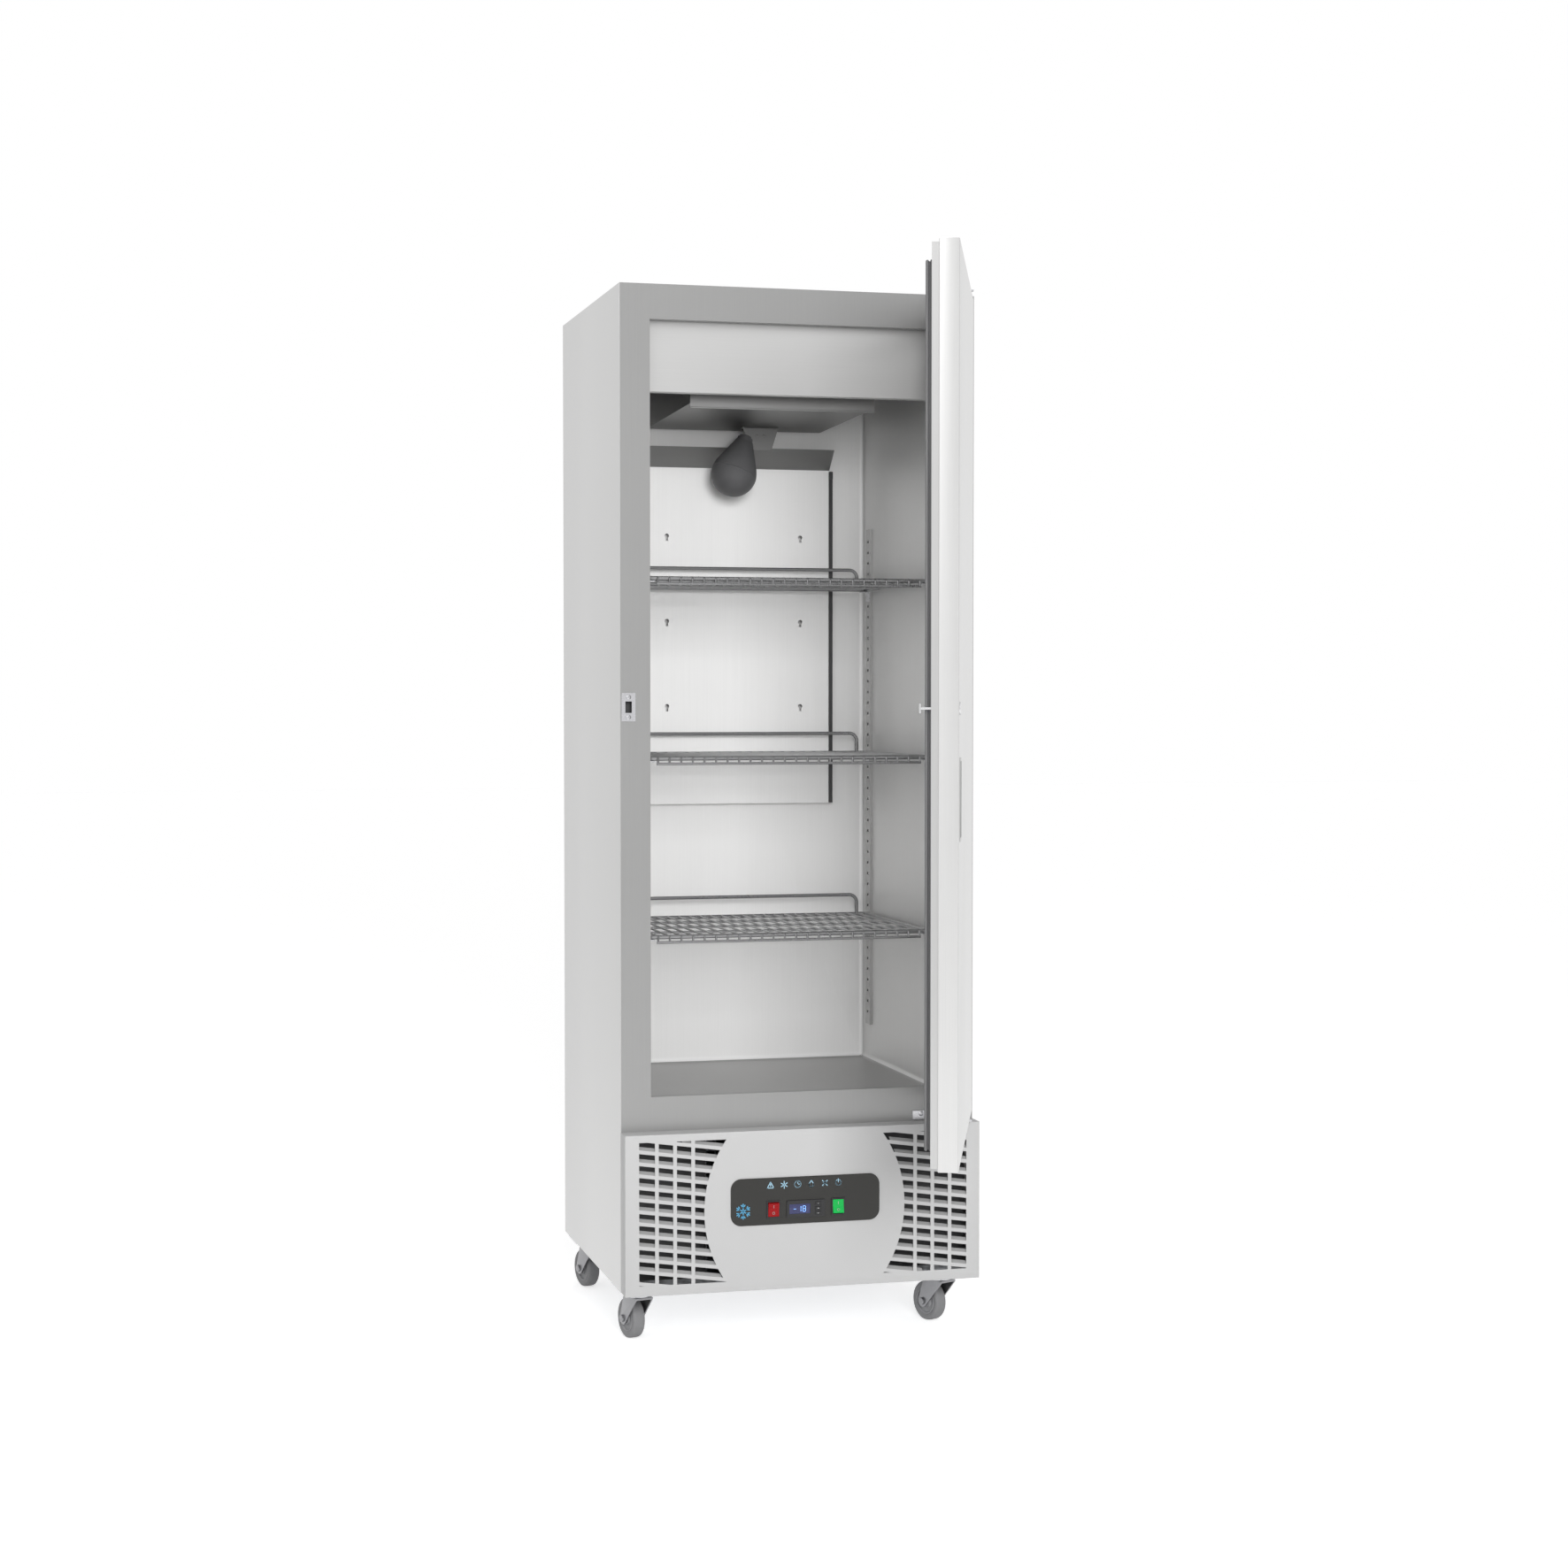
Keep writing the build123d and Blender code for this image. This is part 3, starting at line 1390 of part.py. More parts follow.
# Condensate pan and electrical box
pan_low = tray_top + drip_pan_lift
pan_left = drip_pan_side_gap - inside_half
pan_back = back - drip_pan_back_gap
pan_span_x = (pan_left, pan_left + drip_pan_size[0])
pan_span_y = (pan_back - drip_pan_size[1], pan_back)
with BuildPart() as drip_pan:
    block(pan_span_x, pan_span_y, (pan_low, pan_low + drip_pan_size[2]))
    block(
        inset(pan_span_x, drip_pan_wall),
        inset(pan_span_y, drip_pan_wall),
        (pan_low + drip_pan_wall, pan_low + drip_pan_size[2]),
        Mode.SUBTRACT,
    )
    for runner_y in (pan_span_y[0], pan_span_y[1] - drip_pan_runner):
        block(pan_span_x, (runner_y, runner_y + drip_pan_runner), (tray_top, pan_low))
drip_pan.part.label = "drip_pan"
export_step(drip_pan.part, "parts/drip_pan.step")

electrical_right = inside_half - electrical_side_gap
electrical_back = back - electrical_back_gap
electrical_span_x = (electrical_right - electrical_size[0], electrical_right)
electrical_span_y = (electrical_back - electrical_size[1], electrical_back)
with BuildPart() as electrical_box:
    block(electrical_span_x, electrical_span_y, (tray_top, tray_top + electrical_size[2]))
    block(
        inset(electrical_span_x, electrical_wall),
        inset(electrical_span_y, electrical_wall),
        (tray_top, tray_top + electrical_size[2] - electrical_wall),
        Mode.SUBTRACT,
    )
electrical_box.part.label = "electrical_box"
export_step(electrical_box.part, "parts/electrical_box.step")

# Rear grille and the mains inlet in it
grille_y = back - rear_grille_recess
inlet_x = inside_half - inlet_side_gap
inlet_z = base + inlet_height
slot_height_span = (rear_slot_rows - 1) * rear_slot_pitch
first_slot_x = rear_slot_side_gap + rear_slot_width / 2 - inside_half
slot_low = (base + tray_flange + machine_top) / 2 - slot_height_span / 2
with BuildPart() as rear_grille:
    block(
        both(inside_half),
        (grille_y - casing_sheet, grille_y),
        (base + tray_flange, machine_top),
    )
    with BuildSketch(Plane.XZ.offset(-grille_y)):
        slots = [
            (first_slot_x + column * rear_slot_column_pitch, slot_low + row * rear_slot_pitch)
            for column in range(rear_slot_columns)
            for row in range(rear_slot_rows)
        ]
        with Locations(*slots):
            SlotOverall(rear_slot_width, rear_slot_height)
        with Locations((inlet_x, inlet_z)):
            Rectangle(inlet_body[0] + seam, inlet_body[1] + seam)
    extrude(amount=casing_sheet, mode=Mode.SUBTRACT)
rear_grille.part.label = "rear_grille"
export_step(rear_grille.part, "parts/rear_grille.step")

inlet_face = grille_y + inlet_flange_sheet
with BuildPart() as mains_inlet:
    for (width, height), depth_span, mode in (
        (inlet_flange, (grille_y, inlet_face), Mode.ADD),
        (inlet_body, (grille_y - inlet_body_depth, grille_y), Mode.ADD),
        (inlet_cavity, (inlet_face - inlet_cavity_depth, inlet_face), Mode.SUBTRACT),
    ):
        block(
            (inlet_x - width / 2, inlet_x + width / 2),
            depth_span,
            (inlet_z - height / 2, inlet_z + height / 2),
            mode,
        )
    blade_back = inlet_face - inlet_cavity_depth
    for blade in (-1, 0, 1):
        blade_x = inlet_x + blade * inlet_blade_pitch
        blade_z = inlet_z + inlet_blade[1] / 2
        block(
            (blade_x - inlet_blade[0] / 2, blade_x + inlet_blade[0] / 2),
            (blade_back, blade_back + inlet_blade[2]),
            (blade_z - inlet_blade[1] / 2, blade_z + inlet_blade[1] / 2),
        )
mains_inlet.part.label = "mains_inlet"
export_step(mains_inlet.part, "parts/mains_inlet.step")

# Castors: top plates with their races, then a fork and a wheel each
plate_low = base - castor_plate_sheet
race_low = plate_low - castor_race_depth
plates = []
for side, castor_y, _ in trail_angles.values():
    with BuildPart(Plane((side * castor_x, front + castor_y, 0))) as top_plate:
        block(both(castor_plate[0] / 2), both(castor_plate[1] / 2), (plate_low, base))
        rod((0, 0, race_low), (0, 0, plate_low), castor_race_radius)
        rod((0, 0, race_low), (0, 0, plate_low), king_pin_radius + running_gap, Mode.SUBTRACT)
    plates.append(top_plate.part)
castor_plates = group("castor_plates", plates)
export_step(castor_plates, "parts/castor_plates.step")

crown_top = race_low - part_gap
crown_low = crown_top - fork_crown[2]
cheek_out = fork_gap / 2 + fork_cheek
for name, (side, castor_y, trail_angle) in trail_angles.items():
    trail_turn = radians(trail_angle)
    swivel = Plane(
        origin=(side * castor_x, front + castor_y, 0),
        x_dir=(-sin(trail_turn), cos(trail_turn), 0),
        z_dir=(0, 0, 1),
    )
    with BuildPart(swivel) as fork:
        block(both(fork_crown[0] / 2), both(cheek_out), (crown_low, crown_top))
        rod((0, 0, crown_top), (0, 0, plate_low - king_pin_gap), king_pin_radius)
        for cheek_y in (-fork_gap / 2, cheek_out):
            cheek_plane = Plane(
                origin=swivel.origin + swivel.y_dir * cheek_y,
                x_dir=swivel.x_dir,
                z_dir=-swivel.y_dir,
            )
            with BuildSketch(cheek_plane):
                with Locations((0, crown_low + fork_crown[2] / 2)):
                    Rectangle(fork_crown[0], fork_crown[2])
                with Locations((castor_trail, wheel_radius)):
                    Circle(fork_tip_radius)
                make_hull()
            extrude(amount=fork_cheek)
        axle_reach = cheek_out + axle_head_depth
        rod((castor_trail, -axle_reach, wheel_radius), (castor_trail, axle_reach, wheel_radius), axle_radius)
        for head_side in (-1, 1):
            rod(
                (castor_trail, head_side * cheek_out, wheel_radius),
                (castor_trail, head_side * axle_reach, wheel_radius),
                axle_head_radius,
            )
    fork.part.label = f"castor_fork_{name}"
    export_step(fork.part, f"parts/castor_fork_{name}.step")

    with BuildPart(swivel) as wheel:
        hub = [(castor_trail, y, wheel_radius) for y in both(wheel_width / 2)]
        rod(*hub, wheel_radius)
        fillet(wheel.edges().filter_by(GeomType.CIRCLE), wheel_edge)
        for face_y, web_y in ((hub[0][1], -1), (hub[1][1], 1)):
            web_start = (castor_trail, face_y, wheel_radius)
            web_end = (castor_trail, face_y - web_y * wheel_web_depth, wheel_radius)
            rod(web_start, web_end, wheel_web_outer, Mode.SUBTRACT)
            rod(web_start, web_end, wheel_web_inner)
        rod(*hub, axle_radius + running_gap, Mode.SUBTRACT)
    wheel.part.label = f"castor_wheel_{name}"
    export_step(wheel.part, f"parts/castor_wheel_{name}.step")

# Screws: where each head sits and which way it faces
screw_places = []
roof_screws = [(x, frame_back) for x in inset(bracket_x, roof_screw_edge)]
roof_screws.append((sum(bracket_x) / 2, front + roof_screw_front))
for x, y in roof_screws:
    screw_places.append(((x, y, roof + roof_bracket_sheet), (0, 0, 1)))
for x in (bracket_x[0] - bracket_width / 4, bracket_x[0] + bracket_width / 4):
    middle_z = (low_plate_z + bracket_sheet + door_bottom) / 2
    screw_places.append(((x, front - bracket_sheet, middle_z), (0, -1, 0)))
for sign in (-1, 1):
    strike_screw_z = lock_z + sign * (strike_height + strike_slot_height) / 4
    screw_places.append(((lock_x, front - strike_sheet, strike_screw_z), (0, -1, 0)))
    for grille_z in inset((base + tray_flange, machine_top), grille_screw_end):
        screw_places.append(((sign * (inside_half - grille_screw_edge), grille_y, grille_z), (0, 1, 0)))
for side, castor_y, _ in trail_angles.values():
    for x in both(bolt_spread[0]):
        for y in both(bolt_spread[1]):
            bolt = (side * castor_x + x, front + castor_y + y, plate_low)
            screw_places.append((bolt, (0, 0, -1)))
fasteners = []
for seat, facing in screw_places:
    with BuildPart() as screw:
        with BuildSketch(Plane(seat, z_dir=facing)):
            Circle(screw_head_radius)
        extrude(amount=screw_head_depth)
        fillet(screw.faces().sort_by(Axis(seat, facing))[-1].edges(), screw_head_depth / 2)
    fasteners.append(screw.part)
screws = group("screws", fasteners)
export_step(screws, "parts/screws.step")
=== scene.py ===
import json
import math

import bmesh
import bpy
from mathutils import Matrix, Vector


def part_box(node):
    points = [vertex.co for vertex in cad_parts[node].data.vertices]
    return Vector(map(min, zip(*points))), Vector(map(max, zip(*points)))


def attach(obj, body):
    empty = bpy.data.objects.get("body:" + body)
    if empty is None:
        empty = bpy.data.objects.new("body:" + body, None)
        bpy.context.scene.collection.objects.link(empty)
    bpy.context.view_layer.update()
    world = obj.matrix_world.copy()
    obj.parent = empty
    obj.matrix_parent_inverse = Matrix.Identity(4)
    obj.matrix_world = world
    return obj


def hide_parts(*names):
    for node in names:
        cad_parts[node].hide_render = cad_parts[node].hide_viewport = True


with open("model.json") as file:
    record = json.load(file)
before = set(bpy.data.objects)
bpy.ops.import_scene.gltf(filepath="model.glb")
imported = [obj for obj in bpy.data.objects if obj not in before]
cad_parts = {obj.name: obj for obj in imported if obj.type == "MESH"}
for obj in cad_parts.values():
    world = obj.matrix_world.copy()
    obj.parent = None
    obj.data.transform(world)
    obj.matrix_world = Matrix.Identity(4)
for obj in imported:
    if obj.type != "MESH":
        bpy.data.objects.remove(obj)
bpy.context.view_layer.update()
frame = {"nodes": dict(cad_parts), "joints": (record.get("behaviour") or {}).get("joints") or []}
nodes = frame["nodes"]
joints = {joint["name"]: joint for joint in frame["joints"]}

# Camera, fitted to the photograph
CAMERA_PLACE = (-1.289, -4.7855, 1.2011)
CAMERA_TILT = 88.138
CAMERA_TURN = -14.638
CAMERA_LENS = 61.62

# Stage and light
FLOOR_WHITE = 0.86
FLOOR_GLOW = 0.56
WORLD_LIGHT = 0.45
WORLD_SEEN = 1.0

MM = 0.001
SMOOTH_ANGLE = 32
SHARP_ANGLE = 50
LONG_EDGE = 0.2
LEAST_FLANGE = 0.004
WELD = 1e-6
UP = Vector((0, 0, 1))

# The span of noise values that most of a texture has, and the Mix node's colour sockets
NOISE_LOW, NOISE_HIGH = 0.3, 0.7
MIX_DARK, MIX_LIGHT, MIX_COLOUR = 6, 7, 2


# Materials

def shader_of(material):
    return next(n for n in material.node_tree.nodes if n.type == "BSDF_PRINCIPLED")


def plain(name, colour, **sockets):
    """A Principled material with plain values on its own sockets."""
    material = bpy.data.materials.new(name)
    material.use_nodes = True
    shader = shader_of(material)
    shader.inputs["Base Color"].default_value = (*colour, 1)
    for socket, value in sockets.items():
        shader.inputs[socket.replace("_", " ")].default_value = value
    return material


def calculated(tree, operation, *values):
    """The result of a Math node on values that are numbers or sockets."""
    node = tree.nodes.new("ShaderNodeMath")
    node.operation = operation
    for socket, value in zip(node.inputs, values):
        if isinstance(value, float):
            socket.default_value = value
        else:
            tree.links.new(value, socket)
    return node.outputs[0]


def texture(material, kind, stretch, **settings):
    """A noise or Voronoi texture on the piece's own coordinates, stretched by counts per metre."""
    tree = material.node_tree
    where = tree.nodes.new("ShaderNodeTexCoord")
    mapping = tree.nodes.new("ShaderNodeMapping")
    mapping.inputs["Scale"].default_value = stretch
    tree.links.new(where.outputs["Object"], mapping.inputs["Vector"])
    pattern = tree.nodes.new(kind)
    for socket, value in settings.items():
        pattern.inputs[socket.replace("_", " ")].default_value = value
    tree.links.new(mapping.outputs["Vector"], pattern.inputs["Vector"])
    return pattern.outputs[0]


def spread(material, value, low, high):
    """A texture's value mapped to run from low to high."""
    tree = material.node_tree
    node = tree.nodes.new("ShaderNodeMapRange")
    node.inputs["From Min"].default_value = NOISE_LOW
    node.inputs["From Max"].default_value = NOISE_HIGH
    node.inputs["To Min"].default_value = low
    node.inputs["To Max"].default_value = high
    tree.links.new(value, node.inputs["Value"])
    return node.outputs["Result"]


def tinted(material, value, colour, change):
    """The colour made darker and lighter by a share of itself, as the texture's value says."""
    tree = material.node_tree
    mix = tree.nodes.new("ShaderNodeMix")
    mix.data_type = "RGBA"
    mix.inputs[MIX_DARK].default_value = (*[c * (1 - change) for c in colour], 1)
    mix.inputs[MIX_LIGHT].default_value = (*[min(1, c * (1 + change)) for c in colour], 1)
    tree.links.new(spread(material, value, 0, 1), mix.inputs["Factor"])
    return mix.outputs[MIX_COLOUR]


def surface(
    name,
    colour,
    roughness,
    grain=(400, 400, 400),
    patches=(3, 3, 3),
    change=0.04,
    rough_change=0.06,
    bump=0.05,
    bump_depth=0.0002,
    kind="ShaderNodeTexNoise",
    **sockets,
):
    """A finish with fine grain in its relief and broad soft patches in its colour and gloss."""
    material = plain(name, colour, **sockets)
    tree = material.node_tree
    shader = shader_of(material)
    detail = {"Detail": 3.0} if kind == "ShaderNodeTexNoise" else {}
    fine = texture(material, kind, grain, Scale=1.0, **detail)
    broad = texture(material, "ShaderNodeTexNoise", patches, Scale=1.0, Detail=4.0)
    mixed = calculated(tree, "MULTIPLY_ADD", fine, 0.5, calculated(tree, "MULTIPLY", broad, 0.5))
    tree.links.new(tinted(material, mixed, colour, change), shader.inputs["Base Color"])
    rough = spread(material, mixed, roughness - rough_change, roughness + rough_change)
    tree.links.new(rough, shader.inputs["Roughness"])
    relief = tree.nodes.new("ShaderNodeBump")
    relief.inputs["Strength"].default_value = bump
    relief.inputs["Distance"].default_value = bump_depth
    tree.links.new(fine, relief.inputs["Height"])
    tree.links.new(relief.outputs["Normal"], shader.inputs["Normal"])
    return material


def brushed(name, tone, roughness=0.38, along="z", metallic=1.0):
    """Stainless sheet with its grain along one axis."""
    grain = {"x": (5, 900, 900), "y": (900, 5, 900), "z": (900, 900, 5)}[along]
    return surface(
        name,
        (tone, tone * 0.998, tone * 0.992),
        roughness,
        grain=grain,
        change=0.035,
        rough_change=0.05,
        bump=0.12,
        bump_depth=0.0001,
        Metallic=metallic,
    )


MATERIALS = {
    "casing": brushed("casing_steel", 0.59),
    "roof": brushed("roof_steel", 0.62, along="x"),
    # The front frame is a darker copy of the casing steel: painted dark reflection, not a tone of
    # its own.
    "frame": brushed("frame_steel", 0.355, metallic=0.6),
    # The lining's steel in four tones, lit and shaded copies of one steel: painted light on the
    # back wall, painted shade on the ceiling and floor, the walls in between.
    "liner": brushed("liner_steel", 0.74, roughness=0.42, metallic=0.65),
    "liner_back": brushed("liner_back_painted_light", 0.94, roughness=0.45, metallic=0.25),
    "liner_ceiling": brushed("liner_ceiling_painted_shade", 0.14, roughness=0.4, metallic=0.9),
    "liner_floor": brushed("liner_floor_painted_shade", 0.43, roughness=0.4, along="y", metallic=0.65),
    "pilaster": brushed("pilaster_steel", 0.50, roughness=0.4),
    "fascia": brushed("fascia_steel", 0.59, along="x", metallic=0.6),
    # The duct face is a lighter copy of the lining steel (painted light); its hood is a darker copy
    # (painted shade).
    "duct": brushed("duct_steel_painted_light", 0.93, roughness=0.45, metallic=0.15),
    "hood": brushed("hood_steel_painted_shade", 0.40, roughness=0.4, along="x"),
    # The evaporator tray and its lip are darker copies of the lining steel: painted shade under the
    # ceiling.
    "tray": brushed("tray_steel_painted_shade", 0.19, roughness=0.4, along="x"),
    "tray_lip": brushed("tray_lip_steel_painted_shade", 0.36, roughness=0.4, along="x", metallic=0.5),
    # The door's outer pan is a lighter copy of the casing steel: painted reflection, a brighter
    # sheen than the casing's.
    "door": brushed("door_steel_painted_reflection", 0.70),
    "door_inner": brushed("door_inner_steel", 0.58),
    "plinth": surface(
        "plinth_paint", (0.52, 0.52, 0.52), 0.45, grain=(700, 700, 700), change=0.02, bump=0.12
    ),
    "zinc": surface(
        "zinc_sheet",
        (0.50, 0.51, 0.53),
        0.38,
        grain=(90, 90, 90),
        change=0.16,
        bump=0.05,
        kind="ShaderNodeTexVoronoi",
        Metallic=1.0,
    ),
    "bright_zinc": surface("bright_zinc", (0.60, 0.60, 0.62), 0.28, change=0.08, Metallic=1.0),
    "wire": surface(
        "shelf_wire", (0.34, 0.34, 0.345), 0.3, grain=(250, 250, 250), change=0.08, Metallic=1.0
    ),
    "aluminium": surface("fin_aluminium", (0.62, 0.63, 0.65), 0.35, change=0.08, Metallic=1.0),
    "copper": surface(
        "copper_pipe", (0.72, 0.33, 0.17), 0.3, patches=(25, 25, 25), change=0.25, Metallic=1.0
    ),
    "lock": surface("lock_plating", (0.66, 0.66, 0.67), 0.18, change=0.05, Metallic=1.0),
    "bezel": surface(
        "bezel_film", (0.019, 0.0185, 0.0165), 0.42, grain=(1500, 1500, 1500), change=0.08, bump=0.2
    ),
    "black": surface(
        "moulded_black",
        (0.022, 0.022, 0.023),
        0.5,
        grain=(1200, 1200, 1200),
        change=0.15,
        bump=0.25,
    ),
    "white": surface(
        "moulded_white", (0.72, 0.71, 0.68), 0.45, grain=(900, 900, 900), change=0.04, bump=0.15
    ),
    "lamp": surface(
        "lamp_plastic", (0.10, 0.10, 0.103), 0.5, grain=(900, 900, 900), change=0.1, bump=0.2
    ),
    "lamp_bracket": brushed("lamp_bracket", 0.24, along="x", metallic=0.3),
    # Dark edging down the duct's sides: rubber, and its darkness also paints the shadow in the gap
    # between duct and back wall.
    "edging": surface(
        "edging_rubber_and_gap_shadow", (0.055, 0.055, 0.057), 0.55, grain=(700, 700, 700), change=0.1, bump=0.2
    ),
    # The grille lips are a darker copy of the plinth paint: painted shade inside the slots.
    "lip": surface(
        "lip_painted_shade", (0.44, 0.44, 0.44), 0.5, grain=(700, 700, 700), change=0.03, bump=0.12
    ),
    # Near-black paint for the baffles and the strike tray; its darkness also paints the shade seen
    # through the slots in front of them.
    "baffle": surface(
        "black_paint_and_slot_shade", (0.07, 0.07, 0.072), 0.55, grain=(500, 500, 500), change=0.1, bump=0.15
    ),
    "fork": surface("castor_zinc", (0.30, 0.30, 0.31), 0.34, change=0.08, Metallic=1.0),
    "gasket": surface(
        "gasket_rubber", (0.155, 0.155, 0.158), 0.62, grain=(700, 700, 700), change=0.1, bump=0.2
    ),
    "hub": surface(
        "castor_hub", (0.29, 0.29, 0.30), 0.5, grain=(700, 700, 700), change=0.06, bump=0.15
    ),
    "tyre": surface(
        "castor_tyre", (0.23, 0.23, 0.235), 0.6, grain=(800, 800, 800), change=0.14, bump=0.3
    ),
    "foam": surface(
        "foam",
        (0.83, 0.72, 0.42),
        0.9,
        grain=(500, 500, 500),
        change=0.1,
        bump=0.5,
        kind="ShaderNodeTexVoronoi",
    ),
    "enamel": surface(
        "black_enamel",
        (0.018, 0.018, 0.02),
        0.25,
        grain=(500, 500, 500),
        change=0.2,
        bump=0.15,
        Coat_Weight=0.5,
    ),
    "red": surface(
        "red_lens",
        (0.27, 0.005, 0.007),
        0.26,
        change=0.06,
        Emission_Color=(0.8, 0.02, 0.02, 1),
        Emission_Strength=0.03,
        Specular_IOR_Level=0.2,
    ),
    "green": surface(
        "green_lens",
        (0.008, 0.38, 0.065),
        0.26,
        change=0.06,
        Emission_Color=(0.02, 0.9, 0.2, 1),
        Emission_Strength=0.08,
        Specular_IOR_Level=0.25,
    ),
    "legend": surface("legend_white", (0.75, 0.75, 0.75), 0.5, change=0.03),
    "faint_legend": surface("faint_legend", (0.42, 0.42, 0.42), 0.5, change=0.03),
    "blue_print": surface("blue_print", (0.10, 0.36, 0.58), 0.45, change=0.05),
    "window": surface(
        "display_window",
        (0.020, 0.022, 0.060),
        0.14,
        change=0.1,
        Coat_Weight=0.2,
        Emission_Color=(0.08, 0.10, 0.55, 1),
        Emission_Strength=0.11,
    ),
    "digit": plain(
        "lit_segment",
        (0.22, 0.46, 1.0),
        Roughness=0.4,
        Emission_Color=(0.22, 0.46, 1.0, 1),
        Emission_Strength=1.1,
    ),
    "pale_print": surface("pale_print", (0.36, 0.58, 0.72), 0.5, change=0.05),
    "unlit": surface("unlit_segment", (0.035, 0.04, 0.11), 0.3, change=0.05),
}


# Mesh helpers

def add_box(bm, low, high, round_edges=0.0):
    """A box between two corners, with its edges rounded if asked."""
    verts = bmesh.ops.create_cube(bm, size=1)["verts"]
    size = [b - a for a, b in zip(low, high)]
    middle = Vector([(a + b) / 2 for a, b in zip(low, high)])
    for vert in verts:
        vert.co = Vector([c * s for c, s in zip(vert.co, size)]) + middle
    if round_edges:
        edges = list({edge for vert in verts for edge in vert.link_edges})
        bmesh.ops.bevel(
            bm, geom=edges, offset=round_edges, segments=2, profile=0.5, affect="EDGES"
        )


def turned(radius, height, step, steps):
    """The point that a profile's point reaches at one step of a turn round Z."""
    turn = 2 * math.pi * step / steps
    return Vector((radius * math.cos(turn), radius * math.sin(turn), height))


def bridge(bm, near, far):
    """Faces between two closed loops with as many points each."""
    for i in range(len(near)):
        j = (i + 1) % len(near)
        bm.faces.new((near[i], near[j], far[j], far[i]))


def add_lathe(bm, profile, matrix, steps):
    """A closed turned body: (radius, height) points that start and end on the axis."""
    rings = []
    for radius, height in profile:
        count = steps if radius else 1
        points = [turned(radius, height, step, steps) for step in range(count)]
        rings.append([bm.verts.new(matrix @ point) for point in points])
    foot, *sides, top = rings
    for step in range(steps):
        after = (step + 1) % steps
        bm.faces.new((foot[0], sides[0][after], sides[0][step]))
        bm.faces.new((sides[-1][step], sides[-1][after], top[0]))
    for low, high in zip(sides, sides[1:]):
        bridge(bm, low, high)


def add_ring(bm, profile, matrix, steps):
    """A turned ring: profile is a closed loop of (radius, height) points."""
    rings = [
        [bm.verts.new(matrix @ turned(radius, height, step, steps)) for radius, height in profile]
        for step in range(steps)
    ]
    for step in range(steps):
        bridge(bm, rings[step], rings[(step + 1) % steps])


def add_frame(bm, profile, span_u, span_w, matrix):
    """A mitred rectangular ring. profile is a closed loop of (inset, depth) points."""
    corners = []
    for sign_u, sign_w in ((1, 1), (-1, 1), (-1, -1), (1, -1)):
        u = span_u[0] if sign_u > 0 else span_u[1]
        w = span_w[0] if sign_w > 0 else span_w[1]
        points = [(u + sign_u * inset, depth, w + sign_w * inset) for inset, depth in profile]
        corners.append([bm.verts.new(matrix @ Vector(point)) for point in points])
    for corner in range(4):
        bridge(bm, corners[corner], corners[(corner + 1) % 4])


def add_prism(bm, outline, low, high, matrix):
    """A flat outline of (x, z) points made solid between two depths along Y."""
    front = [bm.verts.new(matrix @ Vector((x, low, z))) for x, z in outline]
    rear = [bm.verts.new(matrix @ Vector((x, high, z))) for x, z in outline]
    bm.faces.new(front)
    bm.faces.new(reversed(rear))
    for i in range(len(outline)):
        j = (i + 1) % len(outline)
        bm.faces.new((front[j], front[i], rear[i], rear[j]))


def linked_mesh(bm, name):
    """A new object in the scene with the bmesh's faces."""
    mesh = bpy.data.meshes.new(name)
    bm.to_mesh(mesh)
    bm.free()
    made = bpy.data.objects.new(name, mesh)
    bpy.context.scene.collection.objects.link(made)
    return made


def finish_piece(bm, name, body, material, replaces=(), angle=SMOOTH_ANGLE):
    """Turns a bmesh into a piece that rides on a body and carries its material."""
    bmesh.ops.recalc_face_normals(bm, faces=bm.faces)
    limit = math.radians(angle)
    for face in bm.faces:
        face.smooth = True
    for edge in bm.edges:
        edge.smooth = len(edge.link_faces) == 2 and edge.calc_face_angle(0) < limit
    piece = linked_mesh(bm, name)
    piece.data.materials.append(MATERIALS[material])
    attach(piece, body)
    if replaces:
        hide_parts(*replaces)
    return piece


def copied(node):
    """A welded copy of a CAD node's mesh to work on."""
    bm = bmesh.new()
    bm.from_mesh(nodes[node].data)
    bmesh.ops.remove_doubles(bm, verts=bm.verts, dist=WELD)
    bmesh.ops.dissolve_limit(bm, angle_limit=math.radians(0.5), verts=bm.verts, edges=bm.edges)
    return bm


def round_sharp(bm, radius, segments, angle, pick=lambda edge: True):
    """Rounds the outer edges that are sharper than the angle and that pick allows."""
    sharp = [
        edge
        for edge in bm.edges
        if len(edge.link_faces) == 2
        and edge.calc_face_angle(0) > angle
        and edge.is_convex
        and pick(edge)
    ]
    bmesh.ops.bevel(
        bm,
        geom=sharp,
        offset=radius,
        segments=segments,
        profile=0.5,
        affect="EDGES",
        clamp_overlap=True,
    )


def softened(node, body, material, radius, pick, segments=2):
    """A copy of a CAD node with its sharp outer folds rounded, standing for it."""
    bm = copied(node)
    round_sharp(bm, radius, segments, math.radians(SHARP_ANGLE), pick)
    finish_piece(bm, node.replace("_panel", "") + "_sheet", body, material, (node,))


def long_fold(edge):
    """True for a long edge from which both sheets run back, so that it is a fold and not a rim."""
    length = edge.calc_length()
    flanges = [face.calc_area() / length for face in edge.link_faces]
    return length > LONG_EDGE and min(flanges) > LEAST_FLANGE


